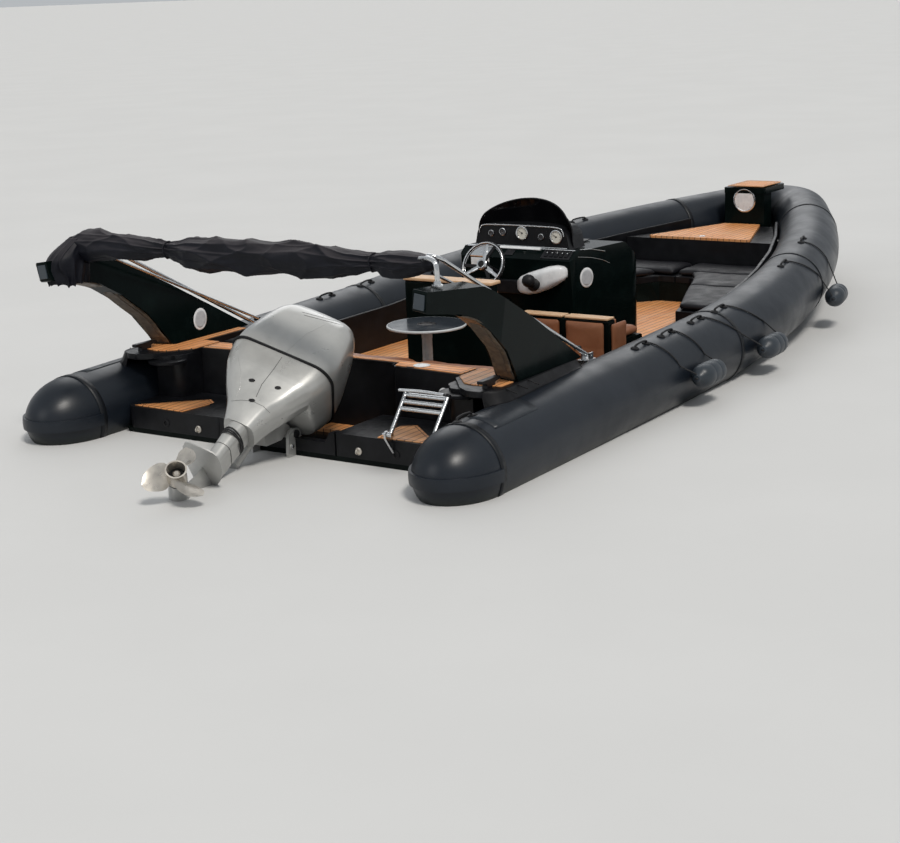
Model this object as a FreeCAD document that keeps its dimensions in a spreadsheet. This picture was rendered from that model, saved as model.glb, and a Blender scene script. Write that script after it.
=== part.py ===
"""Rigid inflatable boat afloat, with an outboard motor tilted clear of the water.

Lengths are in mm. +X points to the bow, +Y to port, +Z up. The origin lies in the
waterline plane, midway between the tubes, in the plane of the transom's aft face.
"""
import math
import os

import FreeCAD
import Part
import Sketcher

Vector = FreeCAD.Vector
Rotation = FreeCAD.Rotation

SIZES = (
    # alias, value
    ("tube_radius", 248),
    ("tube_spread", 1440),
    ("knee_x", 2800),
    ("knee_height", 212),
    ("stern_slope", 1.72),
    ("bow_slope", 3.78),
    ("bow_angle", 27),
    ("bow_radius", 8600),
    ("nose_radius", 350),
    ("tube_end", -205),
    ("cone_length", 330),
    ("ring_width", 70),
    ("ring_depth", 14),
    ("keel_depth", 470),
    ("chine_depth", 75),
    ("strake_width", 40),
    ("strake_step", 4),
    ("sole_height", 30),
    ("sole_thickness", 20),
    ("sole_clearance", 1),
    ("liner_thickness", 25),
    ("liner_clearance", 5),
    ("liner_start_x", 690),
    ("liner_aft_top", 325),
    ("liner_fore_top", 565),
    ("transom_height", 100),
    ("transom_thickness", 60),
    ("well_half_width", 430),
    ("platform_height", 165),
    ("platform_length", 480),
    ("platform_corner", 60),
    ("deck_fore_x", 1150),
    ("deck_thickness", 35),
    ("deck_clearance", 4.5),
    ("deck_aft_x", 175),
    ("pedestal_x", 300),
    ("pedestal_corner", 130),
    ("bulkhead_x", 625),
    ("bulkhead_wing_x", 500),
    ("bulkhead_front_x", 680),
    ("bulkhead_half_width", 985),
    ("fin_thickness", 150),
    ("fin_tip_thickness", 85),
    ("fin_lean", 8.5),
    ("fin_foot_x", 1280),
    ("fin_length", 1710),
    ("fin_height", 677),
    ("fin_inset", 218),
    ("bollard_gap", 105.5),
    ("bollard_inset", 150),
    ("bollard_length", 190),
    ("bollard_height", 48),
    ("bollard_width", 34),
    ("seat_height", 240),
    ("seat_clearance", 12),
    ("footwell_aft_half", 700),
    ("footwell_bend_half", 330),
    ("footwell_end_half", 140),
    ("cushion_thickness", 60),
    ("cushion_inset", 6),
    ("bow_deck_height", 480),
    ("locker_depth", 160),
    ("locker_aft_wall", 60),
    ("locker_side_wall", 70),
    ("locker_fore_wall", 90),
    ("locker_corner", 20),
    ("lid_thickness", 20),
    ("lid_aft_half", 470),
    ("lid_fore_half", 165),
    ("lid_barrel_radius", 9),
    ("step_length", 460),
    ("step_half_width", 195),
    ("step_thickness", 48),
    ("step_clearance", 6),
    ("console_x", 2700),
    ("console_length", 1160),
    ("console_half_width", 460),
    ("console_height", 810),
    ("pod_length", 220),
    ("pod_half_width", 385),
    ("pod_height", 158),
    ("screen_x", 2850),
    ("screen_depth", 150),
    ("screen_half_width", 378),
    ("screen_height", 330),
    ("screen_thickness", 8),
    ("wheel_radius", 158),
    ("wheel_rim_radius", 13),
    ("wheel_x", 2500),
    ("wheel_y", 130),
    ("wheel_height", 725),
    ("wheel_tilt", 25),
    ("column_radius", 24),
    ("column_length", 260),
    ("helm_x", 1750),
    ("helm_length", 500),
    ("helm_y", -60),
    ("helm_width", 660),
    ("helm_back", 100),
    ("helm_seat_height", 420),
    ("helm_back_height", 750),
    ("helm_cushion_thickness", 78),
    ("companion_x", 2090),
    ("companion_length", 460),
    ("companion_y", -742),
    ("companion_width", 660),
    ("companion_seat_height", 330),
    ("companion_back_height", 490),
    ("companion_cushion_thickness", 57),
    ("bench_x", 684),
    ("bench_length", 396),
    ("bench_width", 1940),
    ("bench_height", 300),
    ("bench_cushion_thickness", 78),
    ("pad_clearance", 2),
    ("table_x", 1330),
    ("table_y", -180),
    ("table_height", 540),
    ("table_radius", 250),
    ("table_thickness", 14),
    ("table_post_radius", 31),
    ("table_foot_radius", 110),
    ("fender_radius", 75),
    ("fender_length", 350),
    ("fender_gap", 4),
    ("bow_tube_radius", 12.5),
    ("bow_bend", 60),
    ("bow_inset", 150),
    ("bow_pivot_lead", 140),
    ("bow_pivot_rise", 47),
    ("bow_corner_lead", 280),
    ("bow_corner_rise", 117.9355),
    ("boot_radius", 70),
    ("boot_drop", 62),
    ("boot_slope", 0.5),
    ("pin_radius", 5),
    ("pin_clearance", 0.5),
    ("cheek_gap", 20),
    ("cheek_thickness", 10),
    ("saddle_clearance", 5),
    ("saddle_length", 110),
    ("saddle_width", 80),
    ("ladder_x", -62),
    ("ladder_y", -1010),
    ("ladder_height", 215),
    ("ladder_length", 270),
    ("ladder_half_width", 140),
    ("ladder_tube_radius", 12.5),
    ("ladder_rise", 50.5),
    ("ladder_clearance", 4),
    ("bracket_thickness", 14),
    ("tilt_x", -5),
    ("tilt_height", 130),
    ("tilt_angle", 58),
    ("tilt_tube_radius", 18),
    ("clamp_spacing", 135),
    ("clamp_thickness", 20),
    ("swivel_half_width", 100),
    ("swivel_radius", 45),
    ("steer_offset", 130),
    ("steer_angle", 24),
    ("cowl_half_width", 324),
    ("cowl_length", 532),
    ("cowl_height", 505),
    ("cowl_gap", 6),
    ("seam_height", 200),
    ("pan_depth", 490),
    ("leg_half_width", 50),
    ("leg_lead", 70),
    ("leg_chord", 205),
    ("leg_corner", 40),
    ("plate_half_width", 125),
    ("plate_tail", 195),
    ("plate_thickness", 14),
    ("yoke_lead", 55),
    ("yoke_tail", 170),
    ("yoke_depth", 450),
    ("yoke_thickness", 44),
    ("skeg_depth", 165),
    ("strut_thickness", 44),
    ("gearcase_length", 440),
    ("gearcase_lead", 20),
    ("gearcase_margin", 5),
    ("screw_gap", 193),
    ("leg_clearance", 1),
    ("plate_depth", 655),
    ("propeller_depth", 895),
    ("propeller_radius", 190),
    ("hub_radius", 55),
    ("blade_thickness", 7),
)

doc = FreeCAD.newDocument("inflatable_boat")
sheet = doc.addObject("Spreadsheet::Sheet", "Sizes")
for row, (alias, value) in enumerate(SIZES, start=1):
    sheet.set("A%d" % row, alias)
    sheet.set("B%d" % row, str(value))
    sheet.setAlias("B%d" % row, alias)
doc.recompute()


class Size:
    """A number together with the sheet expression that gives it."""

    def __init__(self, value, words):
        self.value = float(value)
        self.words = words

    def __add__(self, other):
        return Size(self.value + number(other), "(%s + %s)" % (self.words, words(other)))

    def __radd__(self, other):
        return Size(number(other) + self.value, "(%s + %s)" % (words(other), self.words))

    def __sub__(self, other):
        return Size(self.value - number(other), "(%s - %s)" % (self.words, words(other)))

    def __rsub__(self, other):
        return Size(number(other) - self.value, "(%s - %s)" % (words(other), self.words))

    def __mul__(self, other):
        return Size(self.value * number(other), "(%s * %s)" % (self.words, words(other)))

    def __rmul__(self, other):
        return Size(number(other) * self.value, "(%s * %s)" % (words(other), self.words))

    def __truediv__(self, other):
        return Size(self.value / number(other), "(%s / %s)" % (self.words, words(other)))

    def __neg__(self):
        return Size(-self.value, "(%s * -1)" % self.words)


def number(item):
    return item.value if isinstance(item, Size) else float(item)


def words(item):
    return item.words if isinstance(item, Size) else "%.6f" % float(item)


def root(item):
    return Size(math.sqrt(number(item)), "sqrt(%s)" % words(item))


def cosine(item):
    return Size(math.cos(math.radians(number(item))), "cos(%s)" % words(item))


def sine(item):
    return Size(math.sin(math.radians(number(item))), "sin(%s)" % words(item))


def tangent(item):
    return Size(math.tan(math.radians(number(item))), "tan(%s)" % words(item))


def drive(item, path, value):
    """Set a property from a number, or bind it to the sheet."""
    if isinstance(value, Size):
        item.setExpression(path, value.words)
    else:
        item.setExpression(path, "%.6f" % float(value))


def place(item, position, axis=None, angle=0):
    """Place an object; coordinates and angle may be bound to the sheet."""
    rotation = Rotation(Vector(*axis), number(angle)) if axis else Rotation()
    item.Placement = FreeCAD.Placement(Vector(*[number(c) for c in position]), rotation)
    for letter, value in zip("xyz", position):
        if isinstance(value, Size):
            item.setExpression("Placement.Base." + letter, value.words)
    if axis and isinstance(angle, Size):
        item.setExpression("Placement.Rotation.Angle", angle.words)


S = {alias: Size(value, "Sizes." + alias) for alias, value in SIZES}


# Bodies, sketches and features
def new_body(name):
    body = doc.addObject("PartDesign::Body", name)
    body.Label = name
    return body


def origin_plane(body, role):
    return [f for f in body.Origin.OriginFeatures if f.Role == role][0]


def new_sketch(body, role, name, offset=0):
    sketch = body.newObject("Sketcher::SketchObject", name)
    sketch.AttachmentSupport = (origin_plane(body, role), [""])
    sketch.MapMode = "FlatFace"
    if isinstance(offset, Size) or offset:
        sketch.AttachmentOffset = FreeCAD.Placement(Vector(0, 0, number(offset)), Rotation())
        drive(sketch, "AttachmentOffset.Base.z", offset)
    return sketch


def fix_point(sketch, geometry, position, x, y):
    """Fix a sketch point by its signed distances from the sketch origin."""
    for kind, axis, value in (("DistanceX", -2, x), ("DistanceY", -1, y)):
        if number(value) == 0:
            sketch.addConstraint(Sketcher.Constraint("PointOnObject", geometry, position, axis))
            continue
        rule = Sketcher.Constraint(kind, -1, 1, geometry, position, number(value))
        index = sketch.addConstraint(rule)
        if isinstance(value, Size):
            sketch.setExpression("Constraints[%d]" % index, value.words)


def outline(sketch, corners):
    """Closed outline through corners (x, y) or (x, y, radius)."""
    corners = [tuple(c) + (0,) * (3 - len(c)) for c in corners]
    count = len(corners)
    points = [Vector(number(c[0]), number(c[1]), 0) for c in corners]
    radii = [number(c[2]) for c in corners]
    entries, exits = [], []
    for i in range(count):
        before = (points[i - 1] - points[i]).normalize()
        after = (points[(i + 1) % count] - points[i]).normalize()
        if radii[i] == 0:
            entries.append(points[i])
            exits.append(points[i])
            continue
        half = before.getAngle(after) / 2
        reach = radii[i] / math.tan(half)
        entries.append(points[i] + before * reach)
        exits.append(points[i] + after * reach)
    lines = []
    for i in range(count):
        lines.append(sketch.addGeometry(Part.LineSegment(exits[i], entries[(i + 1) % count])))
    for i in range(count):
        before, after = lines[i - 1], lines[i]
        if radii[i] == 0:
            sketch.addConstraint(Sketcher.Constraint("Coincident", before, 2, after, 1))
            fix_point(sketch, after, 1, corners[i][0], corners[i][1])
            continue
        back = (points[i - 1] - points[i]).normalize()
        front = (points[(i + 1) % count] - points[i]).normalize()
        half = back.getAngle(front) / 2
        middle = (back + front).normalize()
        centre = points[i] + middle * (radii[i] / math.sin(half))
        left_turn = back.cross(front).z < 0
        first, last = (entries[i], exits[i]) if left_turn else (exits[i], entries[i])
        start = math.atan2(first.y - centre.y, first.x - centre.x)
        end = math.atan2(last.y - centre.y, last.x - centre.x)
        circle = Part.Circle(centre, Vector(0, 0, 1), radii[i])
        arc = sketch.addGeometry(Part.ArcOfCircle(circle, start, end))
        point = sketch.addGeometry(Part.Point(points[i]), True)
        fix_point(sketch, point, 1, corners[i][0], corners[i][1])
        sketch.addConstraint(Sketcher.Constraint("PointOnObject", point, 1, before))
        sketch.addConstraint(Sketcher.Constraint("PointOnObject", point, 1, after))
        entry_end, exit_end = (1, 2) if left_turn else (2, 1)
        sketch.addConstraint(Sketcher.Constraint("Tangent", before, 2, arc, entry_end))
        sketch.addConstraint(Sketcher.Constraint("Tangent", arc, exit_end, after, 1))
        index = sketch.addConstraint(Sketcher.Constraint("Radius", arc, radii[i]))
        if isinstance(corners[i][2], Size):
            sketch.setExpression("Constraints[%d]" % index, corners[i][2].words)


def circle_sketch(sketch, x, y, radius):
    circle = Part.Circle(Vector(number(x), number(y), 0), Vector(0, 0, 1), number(radius))
    ring = sketch.addGeometry(circle)
    fix_point(sketch, ring, 3, x, y)
    index = sketch.addConstraint(Sketcher.Constraint("Radius", ring, number(radius)))
    if isinstance(radius, Size):
        sketch.setExpression("Constraints[%d]" % index, radius.words)


def pad(body, sketch, length, symmetric=False, reverse=False):
    feature = body.newObject("PartDesign::Pad", sketch.Name + "_pad")
    feature.Profile = sketch
    feature.Length = number(length)
    if isinstance(length, Size):
        feature.setExpression("Length", length.words)
    if symmetric:
        feature.SideType = "Symmetric"
    feature.Reversed = reverse
    sketch.Visibility = False
    return feature


def pocket(body, sketch, length=None, symmetric=False, reverse=False):
    feature = body.newObject("PartDesign::Pocket", sketch.Name + "_pocket")
    feature.Profile = sketch
    if length is None:
        feature.Type = 1
    else:
        feature.Length = number(length)
        if isinstance(length, Size):
            feature.setExpression("Length", length.words)
    if symmetric:
        feature.SideType = "Symmetric"
    feature.Reversed = reverse
    sketch.Visibility = False
    return feature


def plate(name, role, corners, offset, length, symmetric=False, reverse=False):
    """A body with one padded outline."""
    body = new_body(name)
    sketch = new_sketch(body, role, name + "_outline", offset)
    outline(sketch, corners)
    pad(body, sketch, length, symmetric, reverse)
    return body


def box(name, low, high):
    """A box between two corners."""
    item = doc.addObject("Part::Box", name)
    item.Label = name
    for path, a, b in (("Length", low[0], high[0]), ("Width", low[1], high[1]),
                       ("Height", low[2], high[2])):
        drive(item, path, b - a)
    place(item, low)
    return item


def cylinder(name, radius, height, position, axis=None, angle=0):
    item = doc.addObject("Part::Cylinder", name)
    item.Label = name
    drive(item, "Radius", radius)
    drive(item, "Height", height)
    place(item, position, axis, angle)
    return item


def join(kind, name, items):
    item = doc.addObject(kind, name)
    item.Label = name
    if kind == "Part::Compound":
        item.Links = items
    else:
        item.Shapes = items
    return item


def fuse(name, items):
    return join("Part::MultiFuse", name, items)


def group(name, items):
    return join("Part::Compound", name, items)


def cut(name, base, tool):
    item = doc.addObject("Part::Cut", name)
    item.Label = name
    item.Base = base
    item.Tool = tool
    return item


def common(name, items):
    return join("Part::MultiCommon", name, items)


def mirrored(name, source):
    """The starboard twin of a port piece."""
    item = doc.addObject("Part::Mirroring", name)
    item.Label = name
    item.Source = source
    item.Normal = Vector(0, 1, 0)
    item.Base = Vector(0, 0, 0)
    return item


def both_sides(half):
    """Close a port half outline, listed from the centre line, with its mirror image."""
    twin = [(c[0], -c[1]) + tuple(c[2:]) for c in reversed(half) if number(c[1]) != 0]
    return list(half) + twin


def section_sides(half):
    """Close a half section of (y, z) corners, listed from the keel up."""
    twin = [(-c[0], c[1]) for c in reversed(half) if number(c[0]) != 0]
    return list(half) + twin

def derive(alias, size):
    """Keep a computed size in the sheet under its own name."""
    cell = len(SIZES) + len(DERIVED) + 1
    DERIVED.append(alias)
    sheet.set("A%d" % cell, alias)
    sheet.set("B%d" % cell, "=" + size.words.replace("Sizes.", ""))
    sheet.setAlias("B%d" % cell, alias)
    doc.recompute()
    return Size(size.value, "Sizes." + alias)


NODES = []


def keep(*items):
    NODES.extend(items)


# Sizes that follow from the tube line
DERIVED = []
RADIUS = S["tube_radius"]
SPREAD = S["tube_spread"]
SOLE = S["sole_height"]
KNEE = (S["knee_x"], SPREAD, S["knee_height"])
AFT_LENGTH = derive("aft_tube_length", (S["knee_x"] - S["tube_end"]) / cosine(S["stern_slope"]))
BEND_X = derive("bend_x", S["bow_radius"] * sine(S["bow_angle"]))
BEND_Y = derive("bend_y", -S["bow_radius"] * (1 - cosine(S["bow_angle"])))
STRAIGHT = derive("bow_straight", (SPREAD + BEND_Y - S["nose_radius"] * cosine(S["bow_angle"]))
                  / sine(S["bow_angle"]))
NOSE_START_X = derive("nose_start_x", BEND_X + STRAIGHT * cosine(S["bow_angle"]))
NOSE_START_Y = derive("nose_start_y", BEND_Y - STRAIGHT * sine(S["bow_angle"]))
NOSE_X = derive("nose_x", NOSE_START_X + S["nose_radius"] * (1 - sine(S["bow_angle"])))
NOSE_Y = -SPREAD
BOW_FACE = derive("bow_face_x", S["knee_x"] + NOSE_X * cosine(S["bow_slope"]) - RADIUS)
FORE_LENGTH = derive("fore_length", BOW_FACE - S["knee_x"])
NOSE_TOP = derive("nose_top", S["knee_height"] + NOSE_X * sine(S["bow_slope"]) + RADIUS
                  + S["step_clearance"])
LINER_GAP = derive("liner_gap", RADIUS + S["liner_clearance"])
INNER_GAP = derive("inner_gap", LINER_GAP + S["liner_thickness"])
SEAT_GAP = derive("seat_gap", INNER_GAP + S["seat_clearance"])
WALL_Y = derive("wall_y", SPREAD - LINER_GAP)
FLOOR = derive("floor_height", SOLE - S["sole_thickness"])


def tube_centre(x):
    """Height of the aft tube's centre line at x."""
    return S["knee_height"] - (S["knee_x"] - x) * tangent(S["stern_slope"])


DECK_TOP = derive("deck_top", tube_centre(S["deck_fore_x"]) + RADIUS / cosine(S["stern_slope"])
                  + S["deck_clearance"] + S["deck_thickness"])
BOW_HALF = derive("bow_half", SPREAD - S["bow_inset"])
PIVOT_X = derive("pivot_x", S["fin_foot_x"] + S["bow_pivot_lead"])
PIVOT_Z = derive("pivot_height", tube_centre(PIVOT_X)
                 + root(RADIUS * RADIUS - S["bow_inset"] * S["bow_inset"]) + S["bow_pivot_rise"])
SHADE_X = derive("shade_corner_x", S["fin_foot_x"] - S["fin_length"] + S["bow_corner_lead"])
SHADE_Z = derive("shade_corner_height", DECK_TOP + S["fin_height"] + S["bow_corner_rise"])


def forward(share):
    """A station at a share of the way from the knee to the bow tube."""
    return S["knee_x"] + FORE_LENGTH * share


def curve_drop(x):
    """How far the forward tube's centre line has come inboard at x."""
    run = x - S["knee_x"]
    return S["bow_radius"] - root(S["bow_radius"] * S["bow_radius"] - run * run)


def inboard(x, gap):
    """Half-breadth at a distance inboard of the tube's centre line at x."""
    if number(x) <= number(S["knee_x"]):
        return SPREAD - gap
    run = x - S["knee_x"]
    steepness = S["bow_radius"] / root(S["bow_radius"] * S["bow_radius"] - run * run)
    return SPREAD - curve_drop(x) - gap * steepness


def flange_height(x):
    """Top of the hull's flange under the tube."""
    if number(x) <= number(S["knee_x"]):
        return SOLE + 0
    return SOLE + (x - S["knee_x"]) * tangent(S["bow_slope"])


# Tube collar
tube_aft = new_body("tube_aft_port")
sketch = new_sketch(tube_aft, "YZ_Plane", "tube_aft_section")
circle_sketch(sketch, 0, 0, RADIUS)
pad(tube_aft, sketch, AFT_LENGTH, reverse=True)
place(tube_aft, KNEE, (0, -1, 0), S["stern_slope"])
keep(tube_aft, mirrored("tube_aft_starboard", tube_aft))

END = (S["tube_end"], SPREAD, S["knee_height"] - AFT_LENGTH * sine(S["stern_slope"]))


def dome(name, grow):
    """The rounded closure of an aft tube."""
    item = doc.addObject("Part::Ellipsoid", name)
    drive(item, "Radius1", S["cone_length"] + grow)
    drive(item, "Radius2", RADIUS + grow)
    drive(item, "Radius3", RADIUS + grow)
    item.Angle1 = 0
    place(item, END, (0, -1, 0), 90 + S["stern_slope"])
    return item


ring_reach = S["ring_depth"] * 4
ring_slab = box("ring_slab", (S["tube_end"] - S["cone_length"] - ring_reach, SPREAD - RADIUS - ring_reach,
                              END[2] - S["ring_width"] / 2),
                (S["tube_end"], SPREAD + RADIUS + ring_reach, END[2] + S["ring_width"] / 2))
ring = common("cone_ring", [dome("ring_dome", S["ring_depth"]), ring_slab])
cone_port = fuse("cone_port", [dome("cone_dome", 0), ring])
keep(cone_port, mirrored("cone_starboard", cone_port))


def arc_path(sketch, first, last, radius, centre):
    """An arc turning clockwise from first to last; both ends and the radius are fixed."""
    a = Vector(number(first[0]), number(first[1]), 0)
    b = Vector(number(last[0]), number(last[1]), 0)
    c = Vector(number(centre[0]), number(centre[1]), 0)
    start = math.atan2(b.y - c.y, b.x - c.x)
    end = math.atan2(a.y - c.y, a.x - c.x)
    circle = Part.Circle(c, Vector(0, 0, 1), number(radius))
    arc = sketch.addGeometry(Part.ArcOfCircle(circle, start, end))
    fix_point(sketch, arc, 2, first[0], first[1])
    fix_point(sketch, arc, 1, last[0], last[1])
    index = sketch.addConstraint(Sketcher.Constraint("Radius", arc, number(radius)))
    if isinstance(radius, Size):
        sketch.setExpression("Constraints[%d]" % index, radius.words)


def line_path(sketch, first, last):
    line = sketch.addGeometry(Part.LineSegment(
        Vector(number(first[0]), number(first[1]), 0),
        Vector(number(last[0]), number(last[1]), 0)))
    fix_point(sketch, line, 1, first[0], first[1])
    fix_point(sketch, line, 2, last[0], last[1])


def pipe(body, profile, spine):
    feature = body.newObject("PartDesign::AdditivePipe", body.Name + "_pipe")
    feature.Profile = profile
    feature.Spine = spine
    profile.Visibility = False
    spine.Visibility = False
    return feature


# The forward tube lies in one plane that rises to the bow; the sweep starts a little aft of
# the knee and is cut square to the aft tube there
LEAD = derive("sweep_lead", RADIUS * 0.16)
sweep = new_body("tube_forward_sweep")
spine = new_sketch(sweep, "XY_Plane", "tube_forward_line")
line_path(spine, (-LEAD, 0), (0, 0))
arc_path(spine, (0, 0), (BEND_X, BEND_Y), S["bow_radius"], (0, -S["bow_radius"]))
profile = new_sketch(sweep, "YZ_Plane", "tube_forward_section", -LEAD)
circle_sketch(profile, 0, 0, RADIUS)
pipe(sweep, profile, spine)
place(sweep, KNEE, (0, -1, 0), S["bow_slope"])
KNEE_REACH = derive("knee_reach", RADIUS * 1.4)
knee_block = box("knee_block", (0, 0, 0), (KNEE_REACH, KNEE_REACH * 2, KNEE_REACH * 2))
place(knee_block, (S["knee_x"] - KNEE_REACH * cosine(S["stern_slope"]) + KNEE_REACH * sine(S["stern_slope"]),
                   SPREAD - KNEE_REACH,
                   S["knee_height"] - KNEE_REACH * sine(S["stern_slope"])
                   - KNEE_REACH * cosine(S["stern_slope"])),
      (0, -1, 0), S["stern_slope"])
tube_forward = cut("tube_forward_port", sweep, knee_block)
keep(tube_forward, mirrored("tube_forward_starboard", tube_forward))

bow = new_body("tube_bow_half")
profile = new_sketch(bow, "XZ_Plane", "tube_bow_section", SPREAD)
circle_sketch(profile, NOSE_X, 0, RADIUS)
spine = new_sketch(bow, "XY_Plane", "tube_bow_line")
arc_path(spine, (NOSE_START_X, NOSE_START_Y), (NOSE_X, NOSE_Y), S["nose_radius"],
         (NOSE_X - S["nose_radius"], NOSE_Y))
line_path(spine, (BEND_X, BEND_Y), (NOSE_START_X, NOSE_START_Y))
pipe(bow, profile, spine)
place(bow, KNEE, (0, -1, 0), S["bow_slope"])
doc.recompute()
keep(fuse("tube_bow", [bow, mirrored("tube_bow_twin", bow)]))

# Hull with spray strakes and chine flats
STRAKE_SHARES = (0.38, 0.71)
HULL_SECTIONS = (
    # share of the forebody, then shares of the keel depth (keel rise, chine rise)
    # and of the tube radius (chine gap, flange gap inboard of the tube centre)
    (None, 0, 0, 1.411, 0.968),
    (0, 0, 0.026, 1.411, 0.806),
    (0.233, 0.013, 0.106, 1.46, 0.75),
    (0.427, 0.051, 0.204, 1.411, 0.75),
    (0.736, 0.362, 0.457, 1.331, 0.75),
    (0.926, 1.096, 0.66, 1.25, 0.75),
)
STEM_SHARE = 1.016
STEM_SECTION = (
    # shares of the tube radius: half-breadth, depth under the flange
    (0, 0.194),
    (0.049, 0.147),
    (0.069, 0.145),
    (0.092, 0.107),
    (0.112, 0.105),
    (0.129, 0.069),
    (0.153, 0.065),
    (0.169, 0),
)
hull = new_body("hull")
hull_sketches = []
for index, (share, keel_rise, chine_rise, chine_gap, flange_gap) in enumerate(HULL_SECTIONS):
    station = S["knee_x"] * 0 if share is None else forward(share)
    sketch = new_sketch(hull, "YZ_Plane", "hull_section_%d" % index, station)
    keel = S["keel_depth"] * (keel_rise - 1)
    chine_y = inboard(station, RADIUS * chine_gap)
    chine_z = S["keel_depth"] * chine_rise - S["chine_depth"]
    inner_y = chine_y - S["strake_width"] * 1.5
    half = [(0, keel)]
    for strake in STRAKE_SHARES:
        strake_y = inner_y * strake
        strake_z = keel + (chine_z - keel) * strake
        half.append((strake_y, strake_z))
        half.append((strake_y + S["strake_width"], strake_z + S["strake_step"]))
    half.append((inner_y, chine_z))
    half.append((chine_y, chine_z - S["strake_step"]))
    half.append((inboard(station, RADIUS * flange_gap), flange_height(station)))
    outline(sketch, section_sides(half))
    hull_sketches.append(sketch)
STEM_X = forward(STEM_SHARE)
stem = new_sketch(hull, "YZ_Plane", "hull_section_stem", STEM_X)
half = [(RADIUS * y if y else 0, flange_height(STEM_X) - RADIUS * depth) for y, depth in STEM_SECTION]
outline(stem, section_sides(half))
hull_sketches.append(stem)
loft = hull.newObject("PartDesign::AdditiveLoft", "hull_loft")
loft.Profile = hull_sketches[0]
loft.Sections = hull_sketches[1:]
loft.Ruled = True
for item in hull_sketches:
    item.Visibility = False

CURVE_START = forward(0.119)
SEAT_START = forward(0.233)
WELL_BEND = forward(0.5175)
WELL_END = forward(0.565)


def floor_half(gap, aft):
    """Port half of the cockpit floor's outline."""
    half = []
    if aft:
        half.append((S["transom_thickness"], S["well_half_width"] - gap))
        half.append((S["platform_length"] + gap, S["well_half_width"] - gap))
    half.append((S["platform_length"] + gap, SPREAD - INNER_GAP - gap))
    half.append((S["knee_x"], SPREAD - INNER_GAP - gap))
    for x in (CURVE_START, SEAT_START):
        half.append((x - gap, inboard(x, INNER_GAP + gap)))
    half.append((SEAT_START - gap, S["footwell_aft_half"] - gap))
    half.append((WELL_BEND, S["footwell_bend_half"] - gap))
    half.append((WELL_END - gap, S["footwell_end_half"] - gap))
    return half


sketch = new_sketch(hull, "XY_Plane", "hull_floor", FLOOR)
outline(sketch, both_sides(floor_half(0, True)))
pocket(hull, sketch, S["keel_depth"], reverse=True)
keep(hull)

sole = plate("cockpit_sole", "XY_Plane", both_sides(floor_half(S["sole_clearance"], False)), FLOOR,
             S["sole_thickness"])
keep(sole)

# Inner walls of the cockpit, rising with the tubes
def below_flange(body, name):
    """Cut away what lies under the flange line, seen from the side."""
    start, end, low = S["platform_length"] * 0.8, BOW_FACE * 1.14, -S["keel_depth"]
    sketch = new_sketch(body, "XZ_Plane", name)
    outline(sketch, [(start, low), (end, low), (end, flange_height(end)), (S["knee_x"], SOLE),
                     (start, SOLE)])
    pocket(body, sketch, SPREAD * 2.8, symmetric=True)


LINER_END = forward(0.855)
LINER_SKY = S["liner_fore_top"] * 1.5
LINER_PARTS = (
    # name, stations from aft to forward
    ("liner_aft", (S["liner_start_x"], S["knee_x"], CURVE_START, SEAT_START)),
    ("liner_fore", (SEAT_START, forward(0.332), forward(0.427), forward(0.57), forward(0.712),
                    forward(0.831))),
)
for name, stations in LINER_PARTS:
    liner = new_body(name + "_wall")
    outer = [(x, inboard(x, LINER_GAP)) for x in stations]
    inner = [(x, inboard(x, INNER_GAP)) for x in stations]
    sketch = new_sketch(liner, "XY_Plane", name + "_outline")
    outline(sketch, outer + inner[::-1])
    pad(liner, sketch, S["liner_fore_top"] * 1.2)
    below_flange(liner, name + "_bottom")
    sketch = new_sketch(liner, "XZ_Plane", name + "_top")
    outline(sketch, [(S["platform_length"] * 0.8, S["liner_aft_top"] - S["liner_thickness"]),
                     (S["knee_x"], S["liner_aft_top"]), (LINER_END, S["liner_fore_top"]),
                     (LINER_END, LINER_SKY), (S["platform_length"] * 0.8, LINER_SKY)])
    pocket(liner, sketch, SPREAD * 2.8, symmetric=True)
    liner_port = group(name + "_port", [liner])
    keep(liner_port, mirrored(name + "_starboard", liner_port))

# Stern mouldings
WELL = S["well_half_width"]
CORNER = S["deck_thickness"]
transom = plate("transom_wall", "YZ_Plane",
                [(-WELL, SOLE), (WELL, SOLE), (WELL, S["platform_height"]),
                 (WELL - CORNER, S["platform_height"], CORNER * 0.5),
                 (WELL - CORNER * 2, S["transom_height"], CORNER * 0.5),
                 (-WELL + CORNER * 2, S["transom_height"], CORNER * 0.5),
                 (-WELL + CORNER, S["platform_height"], CORNER * 0.5),
                 (-WELL, S["platform_height"])],
                0, S["transom_thickness"])
keep(transom)

platform = plate("platform_port", "XY_Plane",
                 [(0, WELL, 20), (S["platform_length"], WELL), (S["platform_length"], WALL_Y),
                  (0, WALL_Y, S["platform_corner"])],
                 SOLE, S["platform_height"] - SOLE)
keep(platform, mirrored("platform_starboard", platform))

WING = S["bulkhead_half_width"]
bulkhead = plate("aft_bulkhead", "XY_Plane",
                 both_sides([(S["bulkhead_x"], 0), (S["bulkhead_x"], WELL + 20, 20),
                             (S["bulkhead_x"] - 80, WELL + 45, 20), (S["bulkhead_wing_x"], WING),
                             (S["bulkhead_front_x"], WING), (S["bulkhead_front_x"], 0)]),
                 SOLE, DECK_TOP - SOLE)
keep(bulkhead)

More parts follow.
